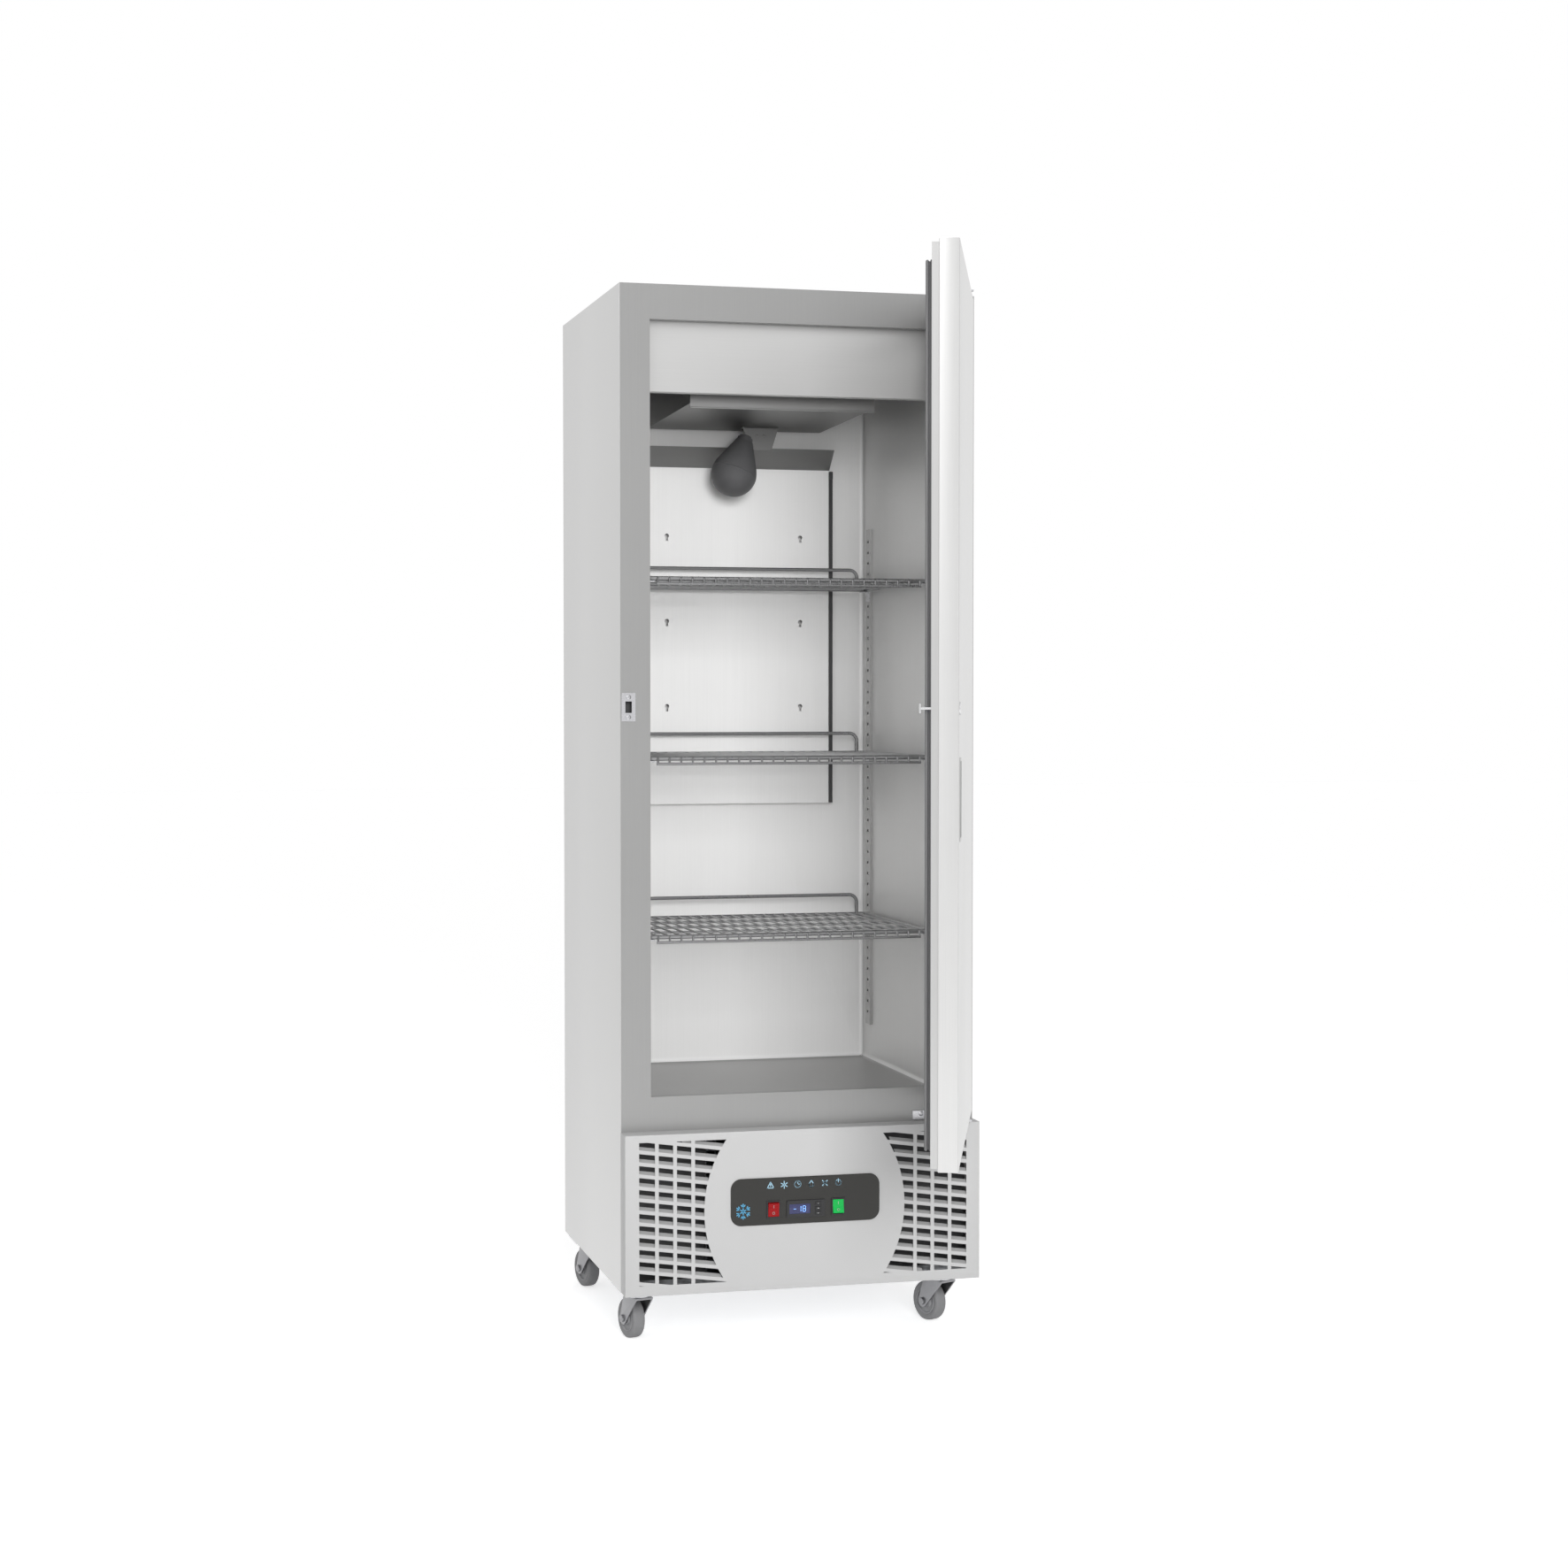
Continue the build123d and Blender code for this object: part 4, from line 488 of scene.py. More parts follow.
def add_strokes(bm, lines, width, proud, matrix):
    """Flat raised strokes along lines of (x, z) points, standing proud of the matrix's XZ plane."""
    for line in lines:
        for start, end in zip(line, line[1:]):
            a, b = Vector((start[0], start[1])), Vector((end[0], end[1]))
            run = (b - a).normalized() * width / 2
            side = Vector((-run.y, run.x))
            ring = [a - run - side, b + run - side, b + run + side, a - run + side]
            add_prism(bm, [tuple(point) for point in ring], -proud, proud, matrix)


def scaled(lines, size):
    """Lines of (x, z) points drawn at a size."""
    return [[(x * size, z * size) for x, z in line] for line in lines]


def arc(radius, start, end, steps, middle=(0, 0)):
    """Points on a circle from one angle to another, in degrees."""
    turns = [math.radians(start + (end - start) * i / steps) for i in range(steps + 1)]
    return [(middle[0] + radius * math.cos(t), middle[1] + radius * math.sin(t)) for t in turns]


def lathe_frame(origin, axis):
    """A matrix whose Z runs along the axis from the origin."""
    return Matrix.Translation(origin) @ Vector(axis).to_track_quat("Z", "Y").to_matrix().to_4x4()


# The door's own frame: X to its free edge, Y out of its outer face, Z up, from the hinge axis
door_out = Vector(joints["lock_turn"]["axis"])
door_along = Vector((door_out.y, -door_out.x, 0))
DOOR = Matrix((door_along, door_out, UP)).transposed().to_4x4()
DOOR.translation = Vector(joints["door_hinge"]["pos_m"])


def door_box(node):
    """Low and high corners of a door node in the door's own frame."""
    inward = DOOR.inverted()
    points = [inward @ vert.co for vert in nodes[node].data.vertices]
    low = Vector([min(p[i] for p in points) for i in range(3)])
    high = Vector([max(p[i] for p in points) for i in range(3)])
    return low, high


# CAD nodes that keep their shape
KEPT = {
    "underside_panel": "zinc",
    "back_panel": "casing",
    "top_panel": "roof",
    "front_frame": "frame",
    "cabinet_insulation": "foam",
    "evaporator_housing": "tray",
    "evaporator_coil": "aluminium",
    "evaporator_fan_frame": "black",
    "evaporator_fan": "black",
    "pilasters": "pilaster",
    "shelf_clips": "bright_zinc",
    "shelf_bottom": "wire",
    "shelf_middle": "wire",
    "shelf_top": "wire",
    "strike_plate": "bright_zinc",
    "hinge_brackets": "bright_zinc",
    "door_insulation": "foam",
    "door_inner_panel": "door_inner",
    "door_handle": "casing",
    "lock_barrel": "lock",
    "lock_cylinder": "lock",
    "door_bushes": "white",
    "control_bezel": "bezel",
    "controller": "black",
    "key_1": "black",
    "key_2": "black",
    "key_3": "black",
    "switch_bodies": "black",
    "rocker_red": "red",
    "rocker_green": "green",
    "base_tray": "zinc",
    "condenser": "aluminium",
    "condenser_shroud": "zinc",
    "condenser_fan_motor": "enamel",
    "condenser_fan": "black",
    "compressor": "enamel",
    "pipework": "copper",
    "drip_pan": "white",
    "electrical_box": "black",
    "rear_grille": "zinc",
    "mains_inlet": "black",
    "castor_plates": "bright_zinc",
}
for node, material in KEPT.items():
    nodes[node].data.materials.clear()
    nodes[node].data.materials.append(MATERIALS[material])


# Folded sheets with their outer folds rounded
SIDE_FACE = 0.3398


def outer_face(sign):
    """A test for edges that lie in the cabinet's left or right outer face."""
    return lambda edge: all(sign * vert.co.x > SIDE_FACE for vert in edge.verts)


for side, sign in (("left", -1), ("right", 1)):
    softened(f"side_panel_{side}", "cabinet", "casing", 0.0010, outer_face(sign))
softened("fascia_panel", "cabinet", "fascia", 0.0020, long_fold, 3)
softened("plinth_panel", "cabinet", "plinth", 0.0022, long_fold, 3)
# The door's outer pan takes the lighter copy of the casing steel, painted reflection.
softened("door_outer_pan", "door", "door", 0.0024, long_fold, 3)


# Room lining: one pressed shell with coved corners and a flat back. Its back, ceiling and floor
# take lit and shaded copies of the wall steel: painted light on the back, painted shade on the
# ceiling and floor.
LINING_HALF, LINING_FLOOR, LINING_CEILING = 0.283, 0.450, 1.895
LINING_FRONT, LINING_BACK, COVE, LINING_SHEET = 0.05484, 0.57484, 0.012, 0.001
CORNER_STEPS = 6
COVE_TURNS = (15, 30, 45, 60, 75, 88)
BACK_PAINTED_LIGHT, CEILING_PAINTED_SHADE, FLOOR_PAINTED_SHADE = 1, 2, 3


def rounded_loop(half, low, high, radius):
    """Points (x, z) round a rectangle with rounded corners."""
    points = []
    for x, z, start in ((half, high, 0), (-half, high, 90), (-half, low, 180), (half, low, 270)):
        centre_x = x - math.copysign(radius, x)
        centre_z = z + (radius if z == low else -radius)
        points += arc(radius, start, start + 90, CORNER_STEPS, (centre_x, centre_z))
    return points


def make_liner():
    bm = bmesh.new()
    shells = []
    for out in (0, LINING_SHEET):
        half, low, high = LINING_HALF + out, LINING_FLOOR - out, LINING_CEILING + out
        radius, back = COVE + out, LINING_BACK + out
        rows = [(0, LINING_FRONT, radius), (0, back - radius, radius)]
        for turn in map(math.radians, COVE_TURNS):
            inset = radius * (1 - math.cos(turn))
            rows.append((inset, back - radius + radius * math.sin(turn), radius - inset))
        rings = []
        for inset, y, corner in rows:
            loop = rounded_loop(half - inset, low + inset, high - inset, corner)
            rings.append([bm.verts.new((x, y, z)) for x, z in loop])
        shells.append(rings)
        for near, far in zip(rings, rings[1:]):
            bridge(bm, near, far)
        bm.faces.new(rings[-1])
    bridge(bm, shells[0][0], shells[1][0])
    # Back faces take the lit copy of the steel (painted light), ceiling and floor faces the shaded
    # copies (painted shade).
    for face in bm.faces:
        face.normal_update()
        middle = face.calc_center_median()
        if abs(face.normal.y) > 0.7 and middle.y > LINING_BACK - COVE:
            face.material_index = BACK_PAINTED_LIGHT
        elif abs(face.normal.z) > 0.7:
            upper = middle.z > (LINING_FLOOR + LINING_CEILING) / 2
            face.material_index = CEILING_PAINTED_SHADE if upper else FLOOR_PAINTED_SHADE
    shell = finish_piece(bm, "liner_shell", "cabinet", "liner", ("inner_liner",))
    # The painted light and shade tones, in the order of their indices.
    for finish in ("liner_back", "liner_ceiling", "liner_floor"):
        shell.data.materials.append(MATERIALS[finish])


make_liner()


# Air duct: its face in a lighter copy of the lining steel as painted light, its hood in a darker
# copy as painted shade, and the edging down both sides, dark rubber whose darkness also paints the
# shadow in the gap beside the duct
HOOD_FOOT, HOOD_PAINTED_SHADE = 1.6675, 1
EDGING_SPAN = (0.2008, 0.2088)
EDGING_PARTS = (((0.5515, 0.5600), (0.9825, 1.6620)), ((0.5500, 0.5600), (1.6480, 1.6640)))
TRAY_LIP_HALF, TRAY_LIP_BACK = 0.1806, 0.1567
TRAY_LIP_PARTS = (
    (0.1556, (1.7434, 1.7815), 0.0004),
    (0.1545, (1.7434, 1.7462), 0.0008),
    (0.1545, (1.7790, 1.7818), 0.0008),
)


def make_duct():
    bm = copied("duct_panel")
    # The hood's faces take the darker copy of the steel, painted shade.
    for face in bm.faces:
        if face.calc_center_median().z > HOOD_FOOT and abs(face.normal.x) < 0.9:
            face.material_index = HOOD_PAINTED_SHADE
    duct = finish_piece(bm, "duct_sheet", "cabinet", "duct", ("duct_panel",))
    duct.data.materials.append(MATERIALS["hood"])
    # Dark edging strips, which also paint the shadow in the gap beside the duct.
    bm = bmesh.new()
    for side in (-1, 1):
        near, far = sorted(side * x for x in EDGING_SPAN)
        for (front, back), (low, high) in EDGING_PARTS:
            add_box(bm, (near, front, low), (far, back, high), round_edges=0.0012)
    finish_piece(bm, "duct_edging_and_gap_shadow", "cabinet", "edging")
    # The tray's lip, in a darker copy of the steel as painted shade.
    bm = bmesh.new()
    for front, (low, high), edge in TRAY_LIP_PARTS:
        near, far = (-TRAY_LIP_HALF, front, low), (TRAY_LIP_HALF, TRAY_LIP_BACK, high)
        add_box(bm, near, far, round_edges=edge)
    finish_piece(bm, "tray_lip", "cabinet", "tray_lip")


make_duct()


# Interior lamp: a pear-shaped body with a lens ring, on a folded bracket
LAMP_START = Vector((-0.018, 0.47984, 1.649))
LAMP_END = Vector((0.008, 0.48984, 1.720))
LAMP_RADIUS, NECK_RADIUS = 0.046, 0.014
BRACKET_FRONT, BRACKET_BACK, BRACKET_TOP = 0.48184, 0.48484, 1.7442
BRACKET_OUTLINE = [
    (0.001, BRACKET_TOP), (0.0140, 1.7030), (0.0185, 1.6982),
    (0.0575, 1.6982), (0.0620, 1.7030), (0.075, BRACKET_TOP),
]
RIVET = [
    (0, -0.001), (0.0032, -0.001), (0.0034, 0.0002), (0.0030, 0.0012), (0.0018, 0.0018),
    (0, 0.0020),
]


def make_lamp():
    along = LAMP_END - LAMP_START
    taper = math.asin((LAMP_RADIUS - NECK_RADIUS) / along.length)
    matrix = lathe_frame(LAMP_START, along)
    tangent_r, tangent_h = LAMP_RADIUS * math.cos(taper), LAMP_RADIUS * math.sin(taper)
    neck_r = NECK_RADIUS * math.cos(taper)
    neck_h = along.length + NECK_RADIUS * math.sin(taper)
    lens = arc(LAMP_RADIUS, -84, 0, 14)
    ring = [
        (LAMP_RADIUS, 0.001),
        (LAMP_RADIUS - 0.0014, 0.0016),
        (LAMP_RADIUS - 0.0014, 0.0032),
        (LAMP_RADIUS - 0.0004, 0.0040),
    ]
    shoulder = arc(LAMP_RADIUS, 10, 20, 2, (-0.0003, 0))
    cone = [
        (tangent_r + (neck_r - tangent_r) * share, tangent_h + (neck_h - tangent_h) * share)
        for share in (0, 0.25, 0.5, 0.75, 0.82)
    ]
    collar = [
        (neck_r + 0.0034, cone[-1][1]),
        (neck_r + 0.0030, neck_h - 0.004),
        (neck_r, neck_h - 0.003),
        (neck_r, neck_h),
    ]
    profile = [(0, -LAMP_RADIUS)] + lens + ring + shoulder + cone + collar + [(0, neck_h)]
    bm = bmesh.new()
    add_lathe(bm, profile, matrix, 72)
    finish_piece(bm, "lamp_body", "cabinet", "lamp", ("interior_lamp",), angle=40)

    bm = bmesh.new()
    add_prism(bm, BRACKET_OUTLINE, BRACKET_FRONT, BRACKET_BACK, Matrix.Identity(4))
    add_box(
        bm,
        (BRACKET_OUTLINE[0][0], BRACKET_FRONT, BRACKET_TOP - 0.003),
        (BRACKET_OUTLINE[-1][0], BRACKET_BACK + 0.016, BRACKET_TOP),
        round_edges=0.0008,
    )
    for x in (0.0305, 0.0455):
        add_lathe(bm, RIVET, lathe_frame((x, BRACKET_FRONT + 0.0001, 1.7265), (0, -1, 0)), 24)
    finish_piece(bm, "lamp_bracket", "cabinet", "lamp_bracket")


make_lamp()


# Door seal: a base strip, a bellows and a rounded magnet strip, mitred at the corners
SEAL_WIDTH = 16
SEAL_NEAR = [
    (0, -35), (0, -37.4), (0.6, -38.3), (2.3, -38.9), (2.7, -39.9), (2.2, -40.9), (0.9, -41.7),
    (0.3, -43.0), (0.5, -44.9), (1.5, -46.1), (3.0, -46.5), (6.2, -46.5), (6.6, -46.1),
]


def make_gasket():
    low, high = door_box("door_gasket")
    profile = SEAL_NEAR + [(SEAL_WIDTH - inset, depth) for inset, depth in reversed(SEAL_NEAR)]
    profile = [(inset * MM, depth * MM) for inset, depth in profile]
    bm = bmesh.new()
    add_frame(bm, profile, (low.x, high.x), (low.z, high.z), DOOR)
    finish_piece(bm, "gasket_bellows", "door", "gasket", ("door_gasket",), 50)


make_gasket()


# Screw heads: cross recesses where a screwdriver reaches, hexagons under the castor plates
SCREW_STEPS = 24
SCREW_DOME = [(4.4, -1.25), (4.5, -0.5), (4.2, 0.3), (3.4, 0.9), (2.6, 1.2)]
HEXAGON_HALF = 0.0045 * math.cos(math.pi / 6)
ROOF_LEVEL, CASTOR_PLATE_LEVEL, CABINET_MIDDLE = 1.9, 0.102, 0.3


def cross_reach(step):
    """How far the cross recess reaches at one step round a head."""
    quarter = SCREW_STEPS // 4
    return 0.0021 if step % quarter in (0, 1, quarter - 1) else 0.0008


def hexagon_reach(step):
    turn = (2 * math.pi * step / SCREW_STEPS + math.pi / 6) % (math.pi / 3) - math.pi / 6
    return HEXAGON_HALF / math.cos(turn)


def add_screw(bm, middle, out, kind):
    """A screw head from rows, each with its reach at every step and its height."""
    matrix = lathe_frame(middle, out)
    if kind == "cross":
        shape = [cross_reach(step) for step in range(SCREW_STEPS)]
        rows = [([reach * MM] * SCREW_STEPS, height * MM) for reach, height in SCREW_DOME]
        rows += [(shape, 0.00125), ([reach * 0.8 for reach in shape], 0.0001)]
    else:
        shape = [hexagon_reach(step) for step in range(SCREW_STEPS)]
        rows = [(shape, -0.00125), (shape, 0.0010), ([reach * 0.93 for reach in shape], 0.00125)]
    rings = []
    for row, height in rows:
        points = [turned(reach, height, step, SCREW_STEPS) for step, reach in enumerate(row)]
        rings.append([bm.verts.new(matrix @ point) for point in points])
    for low, high in zip(rings, rings[1:]):
        bridge(bm, low, high)
    bm.faces.new(list(reversed(rings[0])))
    bm.faces.new(rings[-1])


def solid_middles(node):
    """The middle of each separate solid in a node, in a fixed order."""
    bm = bmesh.new()
    bm.from_mesh(nodes[node].data)
    bmesh.ops.remove_doubles(bm, verts=bm.verts, dist=WELD)
    left = set(bm.verts)
    middles = []
    while left:
        stack = [left.pop()]
        found = []
        while stack:
            vert = stack.pop()
            found.append(vert.co.copy())
            for edge in vert.link_edges:
                other = edge.other_vert(vert)
                if other in left:
                    left.remove(other)
                    stack.append(other)
        spans = [[point[axis] for point in found] for axis in range(3)]
        middles.append(Vector([(min(span) + max(span)) / 2 for span in spans]))
    bm.free()
    return sorted(middles, key=tuple)


def make_screws():
    bm = bmesh.new()
    for middle in solid_middles("screws"):
        if middle.z > ROOF_LEVEL:
            add_screw(bm, middle, (0, 0, 1), "cross")
        elif middle.z < CASTOR_PLATE_LEVEL:
            add_screw(bm, middle, (0, 0, -1), "hexagon")
        else:
            add_screw(bm, middle, (0, -1 if middle.y < CABINET_MIDDLE else 1, 0), "cross")
    finish_piece(bm, "screw_heads", "cabinet", "bright_zinc", ("screws",), angle=28)


make_screws()


# Castors: moulded wheels with a tread and a hub, forks with their edges eased
TYRE = [
    (25.6, -10.6), (27.2, -11.6), (32.0, -12.0), (34.6, -11.5), (36.4, -10.1), (37.2, -8.0),
    (37.5, -4.0), (37.5, 4.0), (37.2, 8.0), (36.4, 10.1), (34.6, 11.5), (32.0, 12.0),
    (27.2, 11.6), (25.6, 10.6),
]
HUB_NEAR = [
    (25.8, -10.4), (25.0, -11.4), (23.8, -11.6), (22.8, -10.8), (21.8, -7.6), (14.5, -7.0),
    (12.6, -8.4), (12.0, -11.2), (11.2, -12.0), (7.0, -12.0), (5.4, -11.4), (4.4, -11.4),
]


def make_castor(name):
    wheel, fork = f"castor_wheel_{name}", f"castor_fork_{name}"
    spin = joints[f"wheel_{name}_spin"]
    matrix = lathe_frame(Vector(spin["pos_m"]), spin["axis"])
    hub = HUB_NEAR + [(r, -h) for r, h in reversed(HUB_NEAR)]
    bm = bmesh.new()
    add_ring(bm, [(r * MM, h * MM) for r, h in TYRE], matrix, 72)
    finish_piece(bm, f"castor_tread_{name}", wheel, "tyre", (wheel,), angle=40)
    bm = bmesh.new()
    add_ring(bm, [(r * MM, h * MM) for r, h in hub], matrix, 72)
    finish_piece(bm, f"castor_hub_{name}", wheel, "hub")
    bm = copied(fork)
    round_sharp(bm, 0.0006, 2, 0.9)
    finish_piece(bm, f"castor_yoke_{name}", fork, "fork", (fork,))


for place in ("front_left", "front_right", "back_left", "back_right"):
    make_castor(place)


# Plinth grilles: a pressed lip behind the top edge of each slanted slot, in a darker copy of the
# plinth paint as painted shade
PLINTH_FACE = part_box("plinth_panel")[0][1]
SLOT_PITCH, SLOT_ROWS, SLOT_SLANT, SLOT_TOP = 0.022, 20, 0.14, 0.0034
LIP_PARTS, LIP_DEPTH, LIP_RISE = 6, 0.0085, 0.0050
GRILLE_FOOT, GRILLE_LOW, GRILLE_HIGH, GRILLE_OUTER = 0.085, 0.120, 0.388, 0.318
ARC_X, ARC_Z, ARC_RADIUS, ARC_LEVEL_X, LEAST_X = -0.039, 0.255, 0.231, 0.26, 0.06


def add_lip(bm, ends):
    """A thin strip that leans back from its two (x, z) front points."""
    face = PLINTH_FACE + 0.0012
    rear = [Vector((x, face + LIP_DEPTH, z + LIP_RISE)) for x, z in ends]
    fore = [Vector((x, face - 0.0002, z - 0.0004)) for x, z in ends]
    loop = (fore[0], fore[1], rear[1], rear[0])
    top = [bm.verts.new(point) for point in loop]
    foot = [bm.verts.new(point - UP * MM) for point in loop]
    bm.faces.new(top)
    bm.faces.new(list(reversed(foot)))
    for i in range(4):
        k = (i + 1) % 4
        bm.faces.new((top[k], top[i], foot[i], foot[k]))


def make_lips():
    bm = bmesh.new()
    for side in (-1, 1):
        for row in range(1, SLOT_ROWS):
            level = GRILLE_FOOT + SLOT_PITCH * row
            rise = level - SLOT_SLANT * side * ARC_LEVEL_X - ARC_Z
            bulge = ARC_X + math.sqrt(max(ARC_RADIUS**2 - rise**2, 0))
            inner = max(LEAST_X, bulge) - 0.004
            for part in range(LIP_PARTS):
                ends = []
                for share in (part / LIP_PARTS, (part + 1) / LIP_PARTS):
                    x = side * (inner + (GRILLE_OUTER - inner) * share)
                    ends.append((x, level + SLOT_TOP - SLOT_SLANT * x))
                heights = [z for x, z in ends]
                if min(heights) >= GRILLE_LOW and max(heights) <= GRILLE_HIGH:
                    add_lip(bm, ends)
    bmesh.ops.remove_doubles(bm, verts=bm.verts, dist=WELD)
    finish_piece(bm, "grille_lips", "cabinet", "lip")


make_lips()


# Air baffles that close the space beside the condenser, with pressed beads; their near-black paint
# also paints the shade seen through the grille slots
BAFFLE_SPAN, BEAD_MARGIN, BEAD_HEIGHT = (0.172, 0.336), 0.014, 0.012


def make_baffles():
    bm = bmesh.new()
    for side in (-1, 1):
        near, far = sorted(side * x for x in BAFFLE_SPAN)
        add_box(bm, (near, 0.0720, 0.1075), (far, 0.0732, 0.3960), round_edges=0.0003)
        for z in (0.145, 0.205, 0.265, 0.325):
            low = (near + BEAD_MARGIN, 0.0706, z)
            high = (far - BEAD_MARGIN, 0.0722, z + BEAD_HEIGHT)
            add_box(bm, low, high, round_edges=0.0010)
    finish_piece(bm, "air_baffles", "cabinet", "baffle")


make_baffles()


# Shallow tray behind the strike plate's slot, between the stile and the foam, in the baffles'
# near-black paint, which also paints the shade seen in the slot
STRIKE_LEFT, STRIKE_RIGHT, STRIKE_LOW, STRIKE_HIGH = -0.3370, -0.2850, 1.1500, 1.2140
STRIKE_RIM, STRIKE_FLOOR, STRIKE_BACK = 0.0500, 0.0536, 0.0547


def make_strike_tray():
    bm = bmesh.new()
    rim_back = STRIKE_FLOOR + 0.0004
    parts = [((STRIKE_LEFT, STRIKE_FLOOR, STRIKE_LOW), (STRIKE_RIGHT, STRIKE_BACK, STRIKE_HIGH))]
    for x in (STRIKE_LEFT, STRIKE_RIGHT - MM):
        parts.append(((x, STRIKE_RIM, STRIKE_LOW), (x + MM, rim_back, STRIKE_HIGH)))
    for z in (STRIKE_LOW, STRIKE_HIGH - MM):
        parts.append(((STRIKE_LEFT, STRIKE_RIM, z), (STRIKE_RIGHT, rim_back, z + MM)))
    for low, high in parts:
        add_box(bm, low, high, round_edges=0.0003)
    finish_piece(bm, "strike_tray", "cabinet", "baffle")


make_strike_tray()


# Control panel: marks on the film, display, key signs and rocker signs
BEZEL_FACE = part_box("control_bezel")[0][1]
DISPLAY_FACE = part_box("controller")[0][1] + 0.0008
SIGN_PROUD, FINE_PROUD = 0.00018, 0.00008
DIGIT_PLACES, DIGIT_HALF, DIGIT_TRIM = (-0.0215, -0.0125, -0.0035), 0.0026, 0.16
ROCKER_FACE_TILT = math.atan2(0.0015, 0.0125)


def flake():
    """The arms of a frost sign and the branches on them."""
    arms, branches = [], []
    for turn in range(30, 390, 60):
        out = Matrix.Rotation(math.radians(turn), 2) @ Vector((1, 0))
        arms.append([(0, 0), tuple(out)])
        for lean in (-40, 40):
            tip = Matrix.Rotation(math.radians(turn + lean), 2) @ Vector((1, 0))
            branches.append([tuple(out * 0.55), tuple(out * 0.55 + tip * 0.4)])
    return arms, branches


FLAKE, BRANCHES = flake()
RAYS = []
for turn in (0.78, 2.36, 3.93, 5.5):
    across, up = math.cos(turn), math.sin(turn)
    RAYS.append([(0.72 * across, 0.72 * up), (across, up)])
SIGNS = [
    [[(0, 1), (0.95, -0.75), (-0.95, -0.75), (0, 1)], [(0, 0.35), (0, -0.2)]],
    FLAKE,
    [arc(0.95, 0, 360, 16), [(0, 0.5), (0, 0), (0.42, 0)]],
    [[(0, 1), (0.62, 0)], arc(0.68, 25, -205, 12, (0, -0.3)), [(-0.62, 0), (0, 1)]],
    [arc(0.45, 0, 360, 12)] + RAYS,
    [arc(0.8, 60, -240, 14), [(0, 1), (0, 0.15)]],
]
SEGMENTS = {
    "a": ((-1, 2), (1, 2)),
    "b": ((1, 2), (1, 0)),
    "c": ((1, 0), (1, -2)),
    "d": ((1, -2), (-1, -2)),
    "e": ((-1, -2), (-1, 0)),
    "f": ((-1, 0), (-1, 2)),
    "g": ((-1, 0), (1, 0)),
}
KEY_SIGNS = {
    "key_1": [[(-0.9, 0.5), (0, -0.6), (0.9, 0.5)]],
    "key_2": [[(-0.9, -0.5), (0, 0.6), (0.9, -0.5)]],
    "key_3": [arc(0.75, 0, 360, 10)],
}


def make_panel_signs():
    bm = bmesh.new()
    for number, sign in enumerate(SIGNS):
        spot = Matrix.Translation((-0.0674 + number * 0.026, BEZEL_FACE, 0.2992))
        add_strokes(bm, scaled(sign, 0.0064), 0.0016, SIGN_PROUD, spot)
    finish_piece(bm, "panel_signs", "cabinet", "pale_print")
    bm = bmesh.new()
    spot = Matrix.Translation((-0.1195, BEZEL_FACE, 0.2530))
    add_strokes(bm, scaled(FLAKE + BRANCHES, 0.0135), 0.0019, SIGN_PROUD, spot)
    finish_piece(bm, "frost_sign", "cabinet", "blue_print")


def make_display():
    bm = bmesh.new()
    low, high = (-0.0319, DISPLAY_FACE - 0.0003, 0.2446), (0.0079, DISPLAY_FACE + 0.0001, 0.2624)
    add_box(bm, low, high, round_edges=0.0002)
    finish_piece(bm, "display_window", "cabinet", "window")
    lit, dim = bmesh.new(), bmesh.new()
    for place, wanted in zip(DIGIT_PLACES, ("g", "bc", "abcdefg")):
        spot = Matrix.Translation((place, DISPLAY_FACE - 0.00036, 0.2535))
        for name, (start, end) in SEGMENTS.items():
            trimmed = [
                tuple((v + (o - v) * DIGIT_TRIM) * DIGIT_HALF for v, o in zip(near, far))
                for near, far in ((start, end), (end, start))
            ]
            add_strokes(lit if name in wanted else dim, [trimmed], 0.0009, FINE_PROUD, spot)
    finish_piece(lit, "display_digits", "cabinet", "digit")
    finish_piece(dim, "display_resting_digits", "cabinet", "unlit")


def make_key_signs():
    for key, lines in KEY_SIGNS.items():
        low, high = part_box(key)
        bm = bmesh.new()
        spot = Matrix.Translation(((low[0] + high[0]) / 2, low[1], (low[2] + high[2]) / 2))
        add_strokes(bm, scaled(lines, 0.0014), 0.0005, FINE_PROUD, spot)
        finish_piece(bm, f"{key}_sign", key, "legend")


def make_rocker_signs():
    """A bar on each rocker's upper half and a ring on its lower half."""
    for colour, tilt in (("red", 8), ("green", -8)):
        pivot = Vector(joints[f"rocker_{colour}_tilt"]["pos_m"])
        rocker = Matrix.Translation(pivot) @ Matrix.Rotation(math.radians(tilt), 4, "X")
        bm = bmesh.new()
        for half, lines in ((1, [[(0, 0.0022), (0, -0.0022)]]), (-1, [arc(0.0022, 0, 360, 14)])):
            spot = (
                rocker
                @ Matrix.Translation((0, -0.00425, half * 0.00625))
                @ Matrix.Rotation(ROCKER_FACE_TILT * half, 4, "X")
            )
            add_strokes(bm, lines, 0.0008, 0.00012, spot)
        rocker_body = f"rocker_{colour}"
        finish_piece(bm, f"{rocker_body}_sign", rocker_body, "faint_legend")


make_panel_signs()
make_display()
make_key_signs()
make_rocker_signs()


# Close fins on both coils
FIN_SHEET = 0.0003


def make_fins(name, half_x, span_y, span_z, pitch):
    bm = bmesh.new()
    count = int(2 * half_x / pitch)
    for number in range(count + 1):
        x = (number - count / 2) * pitch
        add_box(bm, (x, span_y[0], span_z[0]), (x + FIN_SHEET, span_y[1], span_z[1]))
    finish_piece(bm, name, "cabinet", "aluminium")


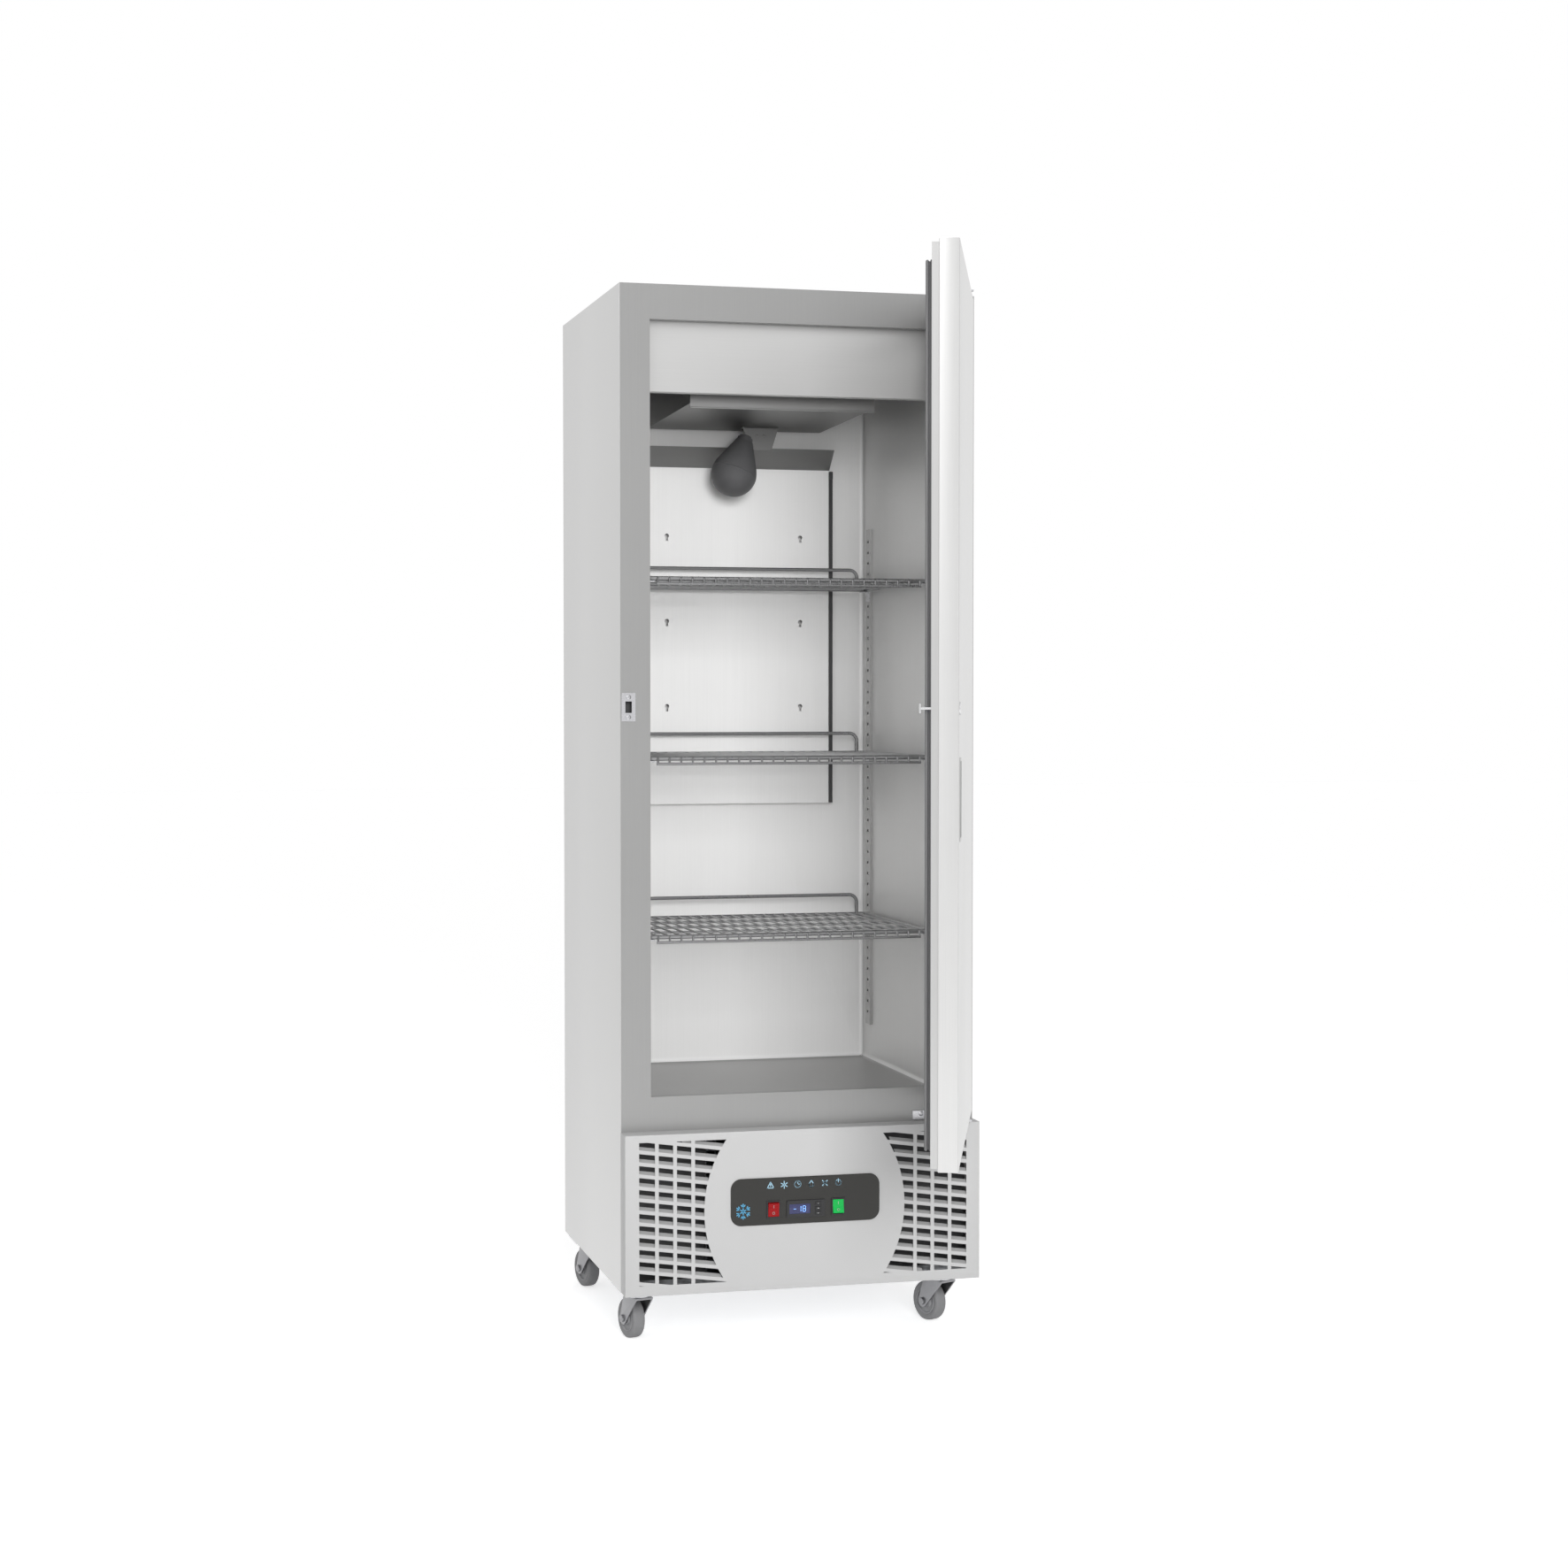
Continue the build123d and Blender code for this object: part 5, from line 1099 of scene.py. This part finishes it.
make_fins("condenser_fins", 0.168, (0.0753, 0.1343), (0.1350, 0.3740), 0.0034)
make_fins("evaporator_fins", 0.148, (0.2153, 0.4143), (1.7705, 1.8695), 0.0050)


# Stage, light and camera

def seen_rays(tree):
    """1 for the rays that show a background: seen straight on, mirrored or through glass."""
    path = tree.nodes.new("ShaderNodeLightPath")
    either = path.outputs["Is Camera Ray"]
    for ray in ("Is Glossy Ray", "Is Transmission Ray"):
        either = calculated(tree, "MAXIMUM", either, path.outputs[ray])
    return either


def make_floor():
    bm = bmesh.new()
    bmesh.ops.create_grid(bm, x_segments=1, y_segments=1, size=30)
    floor = linked_mesh(bm, "floor")
    material = plain("floor_white", (FLOOR_WHITE, FLOOR_WHITE, FLOOR_WHITE), Roughness=0.9)
    shader = shader_of(material)
    tree = material.node_tree
    glow = calculated(tree, "MULTIPLY", seen_rays(tree), FLOOR_GLOW)
    shader.inputs["Emission Color"].default_value = (1, 1, 1, 1)
    tree.links.new(glow, shader.inputs["Emission Strength"])
    floor.data.materials.append(material)


def make_world():
    world = bpy.data.worlds.new("studio")
    bpy.context.scene.world = world
    world.use_nodes = True
    tree = world.node_tree
    tree.nodes.clear()
    out = tree.nodes.new("ShaderNodeOutputWorld")
    mix = tree.nodes.new("ShaderNodeMixShader")
    for socket, strength in ((mix.inputs[1], WORLD_LIGHT), (mix.inputs[2], WORLD_SEEN)):
        background = tree.nodes.new("ShaderNodeBackground")
        background.inputs["Color"].default_value = (1, 1, 1, 1)
        background.inputs["Strength"].default_value = strength
        tree.links.new(background.outputs[0], socket)
    tree.links.new(seen_rays(tree), mix.inputs["Fac"])
    tree.links.new(mix.outputs[0], out.inputs["Surface"])


def area_light(name, place, target, side, power, fan, glossy):
    """A square lamp that aims at a target and spreads over the fan's degrees."""
    data = bpy.data.lights.new(name, "AREA")
    data.shape = "SQUARE"
    data.size = side
    data.energy = power
    data.spread = math.radians(fan)
    light = bpy.data.objects.new(name, data)
    light.location = place
    light.rotation_euler = (Vector(place) - Vector(target)).to_track_quat("Z", "Y").to_euler()
    light.visible_camera = False
    light.visible_glossy = glossy
    bpy.context.scene.collection.objects.link(light)


def make_camera():
    data = bpy.data.cameras.new("photo_camera")
    data.lens = CAMERA_LENS
    data.sensor_width = 36
    data.clip_end = 100
    camera = bpy.data.objects.new("photo_camera", data)
    camera.location = CAMERA_PLACE
    camera.rotation_euler = (math.radians(CAMERA_TILT), 0, math.radians(CAMERA_TURN))
    bpy.context.scene.collection.objects.link(camera)
    bpy.context.scene.camera = camera


make_floor()
make_world()
area_light("front", (-0.55, -5.2, 2.1), (0, 0.3, 1.15), 1.7, 50, fan=84, glossy=False)
area_light("key", (-3.2, -4.2, 3.6), (0, 0, 1.1), 2.5, 35, fan=180, glossy=True)
make_camera()
bpy.context.scene.view_settings.view_transform = "Standard"
